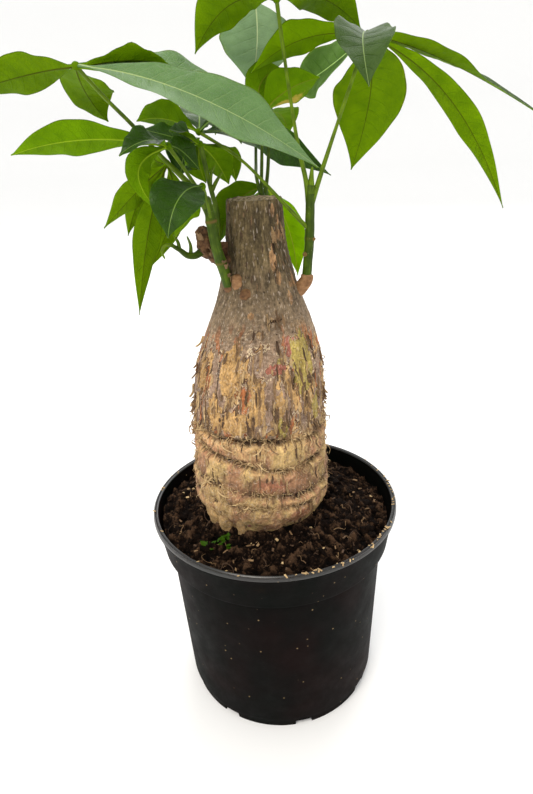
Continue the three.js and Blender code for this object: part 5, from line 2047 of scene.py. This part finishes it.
@dataclass
class Soil:
    """Peat heaped against the trunk, with crumbs, rootlets and a few scraps on it."""

    wall_level: float = 103.0
    heap: float = 19.0
    banked: float = 3.2  # how much higher it lies against the wall on the left
    top_radius: float = 60.6
    # How wide and how high it is at shares of the way down from its edge to the pot's floor.
    reaches: Sequence[Pair] = ((0, 60.6), (0.3, 59.5), (0.36, 55.0), (0.7, 51.0), (1.0, 0.0))
    levels: Sequence[Pair] = ((0, 101.0), (0.3, 93.8), (0.36, 90.5), (0.7, 5.2), (1.0, 5.2))
    seed: int = 5

    @staticmethod
    def lumps(x: float, y: float) -> Point:
        """Finds how lumpy the soil is at a place.

        Args:
            x: the place, to the right.
            y: the place, to the back.

        Returns:
            Its lumps, its clods and its crumbs.
        """
        lumps = noise.fractal(Vector((x * 0.22, y * 0.22, 8.0)), 0.8, 2.1, 5)
        clods = 0.4 - abs(noise.noise(Vector((x * 0.13, y * 0.13, 15.0))))
        return lumps, clods, abs(noise.noise(Vector((x * 0.62, y * 0.62, 21.0))))

    def height(self, x: float, y: float) -> float:
        """Finds the height of the soil's surface at a place.

        Args:
            x: the place, to the right.
            y: the place, to the back.

        Returns:
            The height above the table.
        """
        part = min(1.0, math.hypot(x, y) / self.top_radius)
        heap = self.heap * (1 - part) ** 1.2 + self.banked * smooth(-x, 22, 58)
        coarse = noise.fractal(Vector((x * 0.075, y * 0.075, 2.0)), 1.0, 2.0, 3)
        lumps, clods, crumbs = self.lumps(x, y)
        crumbs += 0.5 * abs(noise.noise(Vector((x * 1.4, y * 1.4, 4.0))))
        return self.wall_level - 0.6 + heap + 1.8 * coarse + 1.9 * lumps + 3.4 * clods + 1.6 * crumbs

    def top(self, finish: Material) -> Piece:
        """Builds the soil, from its lumpy surface down to the floor of the pot.

        Args:
            finish: what it is dressed in.

        Returns:
            The soil.
        """
        mesh = bmesh.new()
        coat = Coat(mesh, "lump")
        surface = 0.86  # the share of the skin that lies open

        def shape(u: float, v: float) -> Vector:
            """Gives a point of the soil's skin.

            Args:
                u: the place across, from 0 to 1.
                v: the place along, from 0 to 1.

            Returns:
                The point in mm.
            """
            out = outward(math.tau * u)
            if v <= surface:
                reach = self.top_radius * (v / surface) ** 0.8
                level = self.height(out.x * reach, out.y * reach)
            else:
                place = (v - surface) / (1 - surface)
                reach, level = (self._straight(pairs, place) for pairs in (self.reaches, self.levels))
            return out * reach + Vector((0, 0, level))

        for corner in mapped_grid(mesh, 440, 190, shape):
            place = corner.co / MM
            lump, clod, crumb = self.lumps(place.x, place.y)
            coat.put(corner, lump=min(1.0, max(0.0, 0.22 + 0.5 * lump + 0.6 * crumb + 0.5 * clod)))
        bmesh.ops.remove_doubles(mesh, verts=mesh.verts, dist=1e-7)
        close_up(mesh)
        return finished_piece("peat_surface", mesh, [finish], ["soil"], crease=80)

    @staticmethod
    def _straight(pairs: Sequence[Pair], place: float) -> float:
        """Reads a broken line through (place, value) pairs.

        Args:
            pairs: the places, in rising order, and the value at each.
            place: where to read the line.

        Returns:
            The value there.
        """
        for (x1, y1), (x2, y2) in zip(pairs, pairs[1:]):
            if place <= x2:
                return y1 + (y2 - y1) * max(0.0, place - x1) / (x2 - x1)
        return pairs[-1][1]

    def _spot(self, dice: random.Random, edge: float) -> Pair:
        """Picks a place on the bare soil, between the trunk and the pot.

        Args:
            dice: what picks it.
            edge: how far out it may lie.

        Returns:
            The place.
        """
        while True:
            angle, reach = dice.uniform(0, math.tau), edge * math.sqrt(dice.random())
            x, y = reach * math.cos(angle), reach * math.sin(angle)
            if math.hypot(x + 5.5, y) > 33:
                return x, y

    def crumbs(self, finish: Material) -> Piece:
        """Builds loose crumbs and clods.

        Args:
            finish: what they are dressed in.

        Returns:
            The crumbs.
        """
        dice = random.Random(self.seed)
        mesh = bmesh.new()
        coat = Coat(mesh, "lump")
        for order in range(800):
            big = order < 70
            x, y = self._spot(dice, 57.0 if big else 59.4)
            size = dice.uniform(1.2, 2.6) if big else dice.uniform(0.3, 1.0)
            made = bmesh.ops.create_icosphere(mesh, subdivisions=2 if big else 1, radius=1.0)["verts"]
            flat = Vector((dice.uniform(0.7, 1.3), dice.uniform(0.7, 1.3), dice.uniform(0.5, 0.8)))
            angle = dice.uniform(0, math.tau)
            turn = Matrix.Rotation(angle, 3, Vector((dice.random(), dice.random(), 1)).normalized())
            seat = Vector((x, y, self.height(x, y) + 0.15 * size))
            for corner in made:
                rough = 1 + 0.9 * noise.noise(corner.co * 1.9 + Vector((order, 0, 0)))
                corner.co = ((turn @ (corner.co * rough)) * flat * size + seat) * MM
                coat.put(corner, lump=dice.uniform(0.25, 0.5) if big else dice.uniform(0.1, 0.8))
        bmesh.ops.recalc_face_normals(mesh, faces=mesh.faces)
        return finished_piece("peat_crumbs", mesh, [finish], crease=60)

    def rootlets(self, finish: Material) -> Piece:
        """Builds thin roots, straws and bark chips that lie on the soil.

        Args:
            finish: what they are dressed in.

        Returns:
            The scraps.
        """
        dice = random.Random(self.seed + 1)
        mesh = bmesh.new()
        coat = Coat(mesh, "tone", "along", "across")
        for order in range(120):
            x, y = self._spot(dice, 55.0)
            heading = dice.uniform(0, math.tau)
            reach = dice.uniform(3, 12) if order < 40 else dice.uniform(1, 4)
            way = []
            for step in range(5):
                share = step / 4
                heading += dice.uniform(-0.5, 0.5)
                px, py = x + reach * share * math.cos(heading), y + reach * share * math.sin(heading)
                out = math.hypot(px, py)
                if out > 59:
                    px, py = px * 59 / out, py * 59 / out
                hump = 0.5 + 0.1 * reach * math.sin(math.pi * share) * dice.uniform(0, 1)
                way.append((px, py, self.height(px, py) + hump))
            thick, tone = dice.uniform(0.12, 0.32), dice.uniform(-0.3, 0.45)
            add_tube(mesh, coat, Path(way), lambda _, share: thick * (1 - 0.5 * share), 5, 12, tone=tone)
        for order in range(70):
            x, y = self._spot(dice, 57.0)
            long, wide = dice.uniform(1.0, 3.2), dice.uniform(0.5, 1.3)
            chip = bmesh.ops.create_cube(mesh, size=1.0)["verts"]
            lay = tumbled(dice, 0.5)
            tone = dice.uniform(-0.1, 0.5) if order % 6 else 0.9
            seat = Vector((x, y, self.height(x, y) + 0.5))
            for corner in chip:
                ragged = 1 + 0.35 * noise.noise(corner.co * 5 + Vector((order, 0, 0)))
                corner.co = (lay @ (corner.co * Vector((long * ragged, wide * ragged, 0.35))) + seat) * MM
                coat.put(corner, tone=tone)
        close_up(mesh)
        return finished_piece("rootlets_and_chips", mesh, [finish])

    def weeds(self, finish: Material) -> Piece:
        """Builds the few tiny green weed leaves at the trunk's foot.

        Args:
            finish: what they are dressed in.

        Returns:
            The leaves.
        """
        dice = random.Random(self.seed + 2)
        mesh = bmesh.new()
        coat = Coat(mesh, *PalmateLeaf.LAYERS)
        for _ in range(16):
            x, y = dice.uniform(-36, -21), dice.uniform(-37, -28)
            heading, long = dice.uniform(0, math.tau), dice.uniform(2.4, 5.0)
            ahead, beside = outward(heading), outward(heading + math.pi / 2)
            rise, tone = dice.uniform(0.1, 0.7), dice.uniform(0, 9)

            def shape(u: float, v: float) -> Vector:
                """Gives a point of a tiny leaf.

                Args:
                    u: the place across, from 0 to 1.
                    v: the place along, from 0 to 1.

                Returns:
                    The point in mm.
                """
                side = 2 * u - 1
                wide = 0.32 * long * math.sin(math.pi * min(0.98, 0.04 + v)) ** 0.8
                level = self.height(x, y) + 0.6 + rise * long * v + 0.15 * abs(side)
                return Vector((x, y, level)) + ahead * (long * v) + beside * (side * wide)

            # The weeds are painted a little lighter than the leaf skin they share.
            for corner in mapped_grid(mesh, 4, 6, shape):
                coat.put(corner, tone=tone, across=1.5, edge=0.5, place=0.4, bright=1.3)
        thicken(mesh, 0.15)
        return finished_piece("weed_leaves", mesh, [finish])


# ------------------------------------------------------------------ pot


@dataclass
class NurseryPot:
    """The thin-walled plastic pot with a rolled lip, a collar, drains and foot notches."""

    height: float = 113.0
    rim: float = 65.0
    collar_foot: float = 61.0
    body_top: float = 57.4
    foot: float = 52.0
    drains: int = 8
    drain_circle: float = 36.0
    drain_radius: float = 4.0
    notch: Pair = (9.0, 3.2)  # width and height
    steps: int = 160
    highlight_from: float = 111.6  # the lip is glossier and painted lighter, as a highlight, from here up
    seed: int = 29

    def outline(self) -> list[Pair]:
        """Lists the radius and height of each corner of the wall's section.

        Returns:
            The corners, from the middle of the underside, up outside and down inside.
        """
        top, rim = self.height, self.rim
        return [
            (0, 0), (12, 0), (13.5, 3.4), (49, 3.4), (49.6, 0.0), (self.foot, 0.0),
            (52.45, 2.6), (52.85, 5.7), (53.5, 6.5), (self.body_top, 90.6), (57.6, 91.2), (60.4, 91.7),
            (self.collar_foot, 93.0), (63.2, 108.6), (63.9, 109.4), (64.8, 110.2), (rim, 111.2),
            (rim - 0.1, 112.3), (rim - 0.45, 112.9), (rim - 0.85, 112.8), (rim - 1.15, 112.35),
            (rim - 1.5, 112.8), (rim - 1.95, top), (rim - 2.4, 112.8), (rim - 2.65, 112.1), (rim - 2.8, 110.6),
            (61.95, 106.0), (59.8, 93.6), (56.0, 89.6), (54.0, 40.0), (51.7, 5.4), (51.1, 4.8), (0, 4.8),
        ]

    def cutters(self) -> Piece:
        """Makes the shapes that cut the drains and the notches.

        Returns:
            The object that holds them all.
        """
        mesh = bmesh.new()
        drain = {"radius1": self.drain_radius * MM, "radius2": self.drain_radius * MM, "depth": 14 * MM}
        for order in range(self.drains):
            angle = math.tau * (order + 0.5) / self.drains
            hole = bmesh.ops.create_cone(mesh, cap_ends=True, segments=32, **drain)["verts"]
            away = outward(angle) * self.drain_circle + Vector((0, 0, 3.4))
            bmesh.ops.translate(mesh, verts=hole, vec=away * MM)
            box = bmesh.ops.create_cube(mesh, size=1.0)["verts"]
            bmesh.ops.scale(mesh, verts=box, vec=Vector((14, self.notch[0], 2 * self.notch[1])) * MM)
            bmesh.ops.translate(mesh, verts=box, vec=Vector((self.foot, 0, 0)) * MM)
            turn = Matrix.Rotation(angle - math.pi / 2 / self.drains, 3, "Z")
            bmesh.ops.rotate(mesh, verts=box, cent=(0, 0, 0), matrix=turn)
        return placed_object("pot_cutters", mesh)

    def shell(self, plastic: Material, highlighted_lip: Material) -> Piece:
        """Spins the wall's section and cuts the openings.

        Args:
            plastic: what the pot is dressed in.
            highlighted_lip: what its lip is dressed in, a glossier plastic painted lighter as a highlight.

        Returns:
            The pot.
        """
        mesh = spun(self.outline(), self.steps)
        close_up(mesh)
        uncut, cutter = placed_object("pot_uncut", mesh), self.cutters()
        cut = uncut.modifiers.new("openings", "BOOLEAN")
        cut.operation, cut.solver, cut.object = "DIFFERENCE", "EXACT", cutter
        ready = uncut.evaluated_get(bpy.context.evaluated_depsgraph_get())
        mesh = bmesh.new()
        mesh.from_mesh(ready.to_mesh())
        ready.to_mesh_clear()
        for spare in (uncut, cutter):
            bpy.data.objects.remove(spare)
        bmesh.ops.dissolve_degenerate(mesh, edges=mesh.edges, dist=1e-7)
        close_up(mesh)
        # The lip's faces take the glossier plastic with its painted highlight.
        for face in mesh.faces:
            face.material_index = int(face.calc_center_median().z > self.highlight_from * MM)
        return finished_piece("pot_shell", mesh, [plastic, highlighted_lip], ["pot"], crease=38)

    def debris(self, finish: Material) -> Piece:
        """Builds the scraps of dry bark that stick to the lip.

        Args:
            finish: what they are dressed in.

        Returns:
            The scraps.
        """
        dice = random.Random(self.seed)
        mesh = bmesh.new()
        coat = Coat(mesh, "tone")
        # Where they gather, in degrees, how widely, and how many there are.
        heaps = ((-38, 9, 16), (-72, 10, 12), (8, 12, 14))
        angles = [math.radians(dice.gauss(at, spread)) for at, spread, count in heaps for _ in range(count)]
        angles += [dice.uniform(-math.pi, math.pi) for _ in range(20)]
        for angle in angles:
            reach = self.rim - dice.uniform(0.4, 2.4)
            long, wide = dice.uniform(0.5, 2.4), dice.uniform(0.3, 0.8)
            flake = bmesh.ops.create_cube(mesh, size=1.0)["verts"]
            lay = tumbled(dice, 0.3)
            seat = outward(angle) * reach + Vector((0, 0, self.height))
            for corner in flake:
                local = lay @ (corner.co * Vector((long, wide, 0.22)))
                local *= 1 + 0.3 * noise.noise(local * 3 + Vector((angle * 9, 0, 0)))
                corner.co = (local + seat) * MM
                coat.put(corner, tone=dice.uniform(0.4, 1.0))
        bmesh.ops.recalc_face_normals(mesh, faces=mesh.faces)
        return finished_piece("rim_debris", mesh, [finish])


# ------------------------------------------------------------------ studio


@dataclass
class Studio:
    """The camera, the pale floor and the soft lights."""

    eye: Point = (0.0, -265.0, 291.8)
    turned: float = 0.31  # degrees to the left
    looks_down: float = 24.33  # degrees
    rolled: float = -2.92  # degrees
    lens: float = 580 * 36 / 794

    def camera(self) -> None:
        """Sets up the camera where the photograph was taken from."""
        data = bpy.data.cameras.new("camera")
        data.lens, data.sensor_width, data.sensor_fit = self.lens, 36.0, "AUTO"
        data.clip_start, data.clip_end = 0.01, 50.0
        camera = bpy.data.objects.new("camera", data)
        pose = Matrix.Translation(Vector(self.eye) * MM)
        for turn, axis in ((self.turned, "Z"), (90 - self.looks_down, "X"), (self.rolled, "Z")):
            pose = pose @ Matrix.Rotation(math.radians(turn), 4, axis)
        camera.matrix_world = pose
        bpy.context.scene.collection.objects.link(camera)
        bpy.context.scene.camera = camera

    def floor(self) -> None:
        """Makes a pale floor that curves up into a backdrop all round."""
        outline = [(0, 0), (1000, 0), (2400, 0), (3200, 100), (3900, 450), (4300, 1000), (4500, 1800)]
        mesh = spun(outline, 64)
        bmesh.ops.recalc_face_normals(mesh, faces=mesh.faces)
        floor = placed_object("studio_floor", mesh, [WhitePaper().make()])

    def lamp(self, name: str, place: Point, size: float, power: float, colour: str) -> None:
        """Adds a square soft light that looks at the plant.

        Args:
            name: the light's name.
            place: where it hangs, in mm.
            size: its side in metres.
            power: its strength in watts.
            colour: its colour.
        """
        data = bpy.data.lights.new(name, "AREA")
        data.shape, data.size, data.energy, data.color = "SQUARE", size, power, linear(colour)[:3]
        lamp = bpy.data.objects.new(name, data)
        away = Vector(place) * MM - Vector((0, 0, 0.22))
        lamp.location = Vector(place) * MM
        lamp.rotation_euler = away.to_track_quat("Z", "Y").to_euler()
        bpy.context.scene.collection.objects.link(lamp)

    def lights(self) -> None:
        """Sets the soft lights and the pale surroundings."""
        world = bpy.data.worlds.new("pale_room")
        world.use_nodes = True
        tree = world.node_tree
        tree.nodes.clear()
        add_node(tree, "OutputWorld", add_node(tree, "Background", "#ffffff", 1.0))
        bpy.context.scene.world = world
        self.lamp("key_light", (-500.0, -900.0, 1500.0), 0.7, 15.0, "#fff8ee")
        self.lamp("back_light", (300.0, 1100.0, 1300.0), 1.2, 12.0, "#ffffff")
        bpy.context.scene.view_settings.view_transform = "Standard"


def main() -> None:
    """Builds every piece of the plant and its stage."""
    logging.basicConfig(level=logging.INFO, format="%(message)s")
    studio = Studio()
    studio.camera()
    studio.floor()
    studio.lights()

    loose = DryBark().make()
    pot = NurseryPot()
    pot.shell(PotPolypropylene().make(), LIP_WITH_PAINTED_HIGHLIGHT.make())
    pot.debris(loose)

    soil = Soil()
    peat = Peat().make()
    soil.top(peat)
    soil.crumbs(peat)
    soil.rootlets(loose)

    trunk = Trunk()
    trunk.build(TrunkBark().make(), SawnWood().make(), CorkySheath().make())
    bark = LooseBark(trunk)
    bark.flakes(loose)
    bark.sheaths(loose)
    bark.fibres(loose)

    skin = GreenStem().make()
    for shoot in SHOOTS:
        shoot.build(skin)
    blades = {look: [finish.make() for finish in pair] for look, pair in LEAF_FINISHES.items()}
    for leaf in LEAVES:
        leaf.build(blades[leaf.look])
    soil.weeds(blades[LeafLook.GLOSSY][0])


if __name__ == "__main__":
    main()
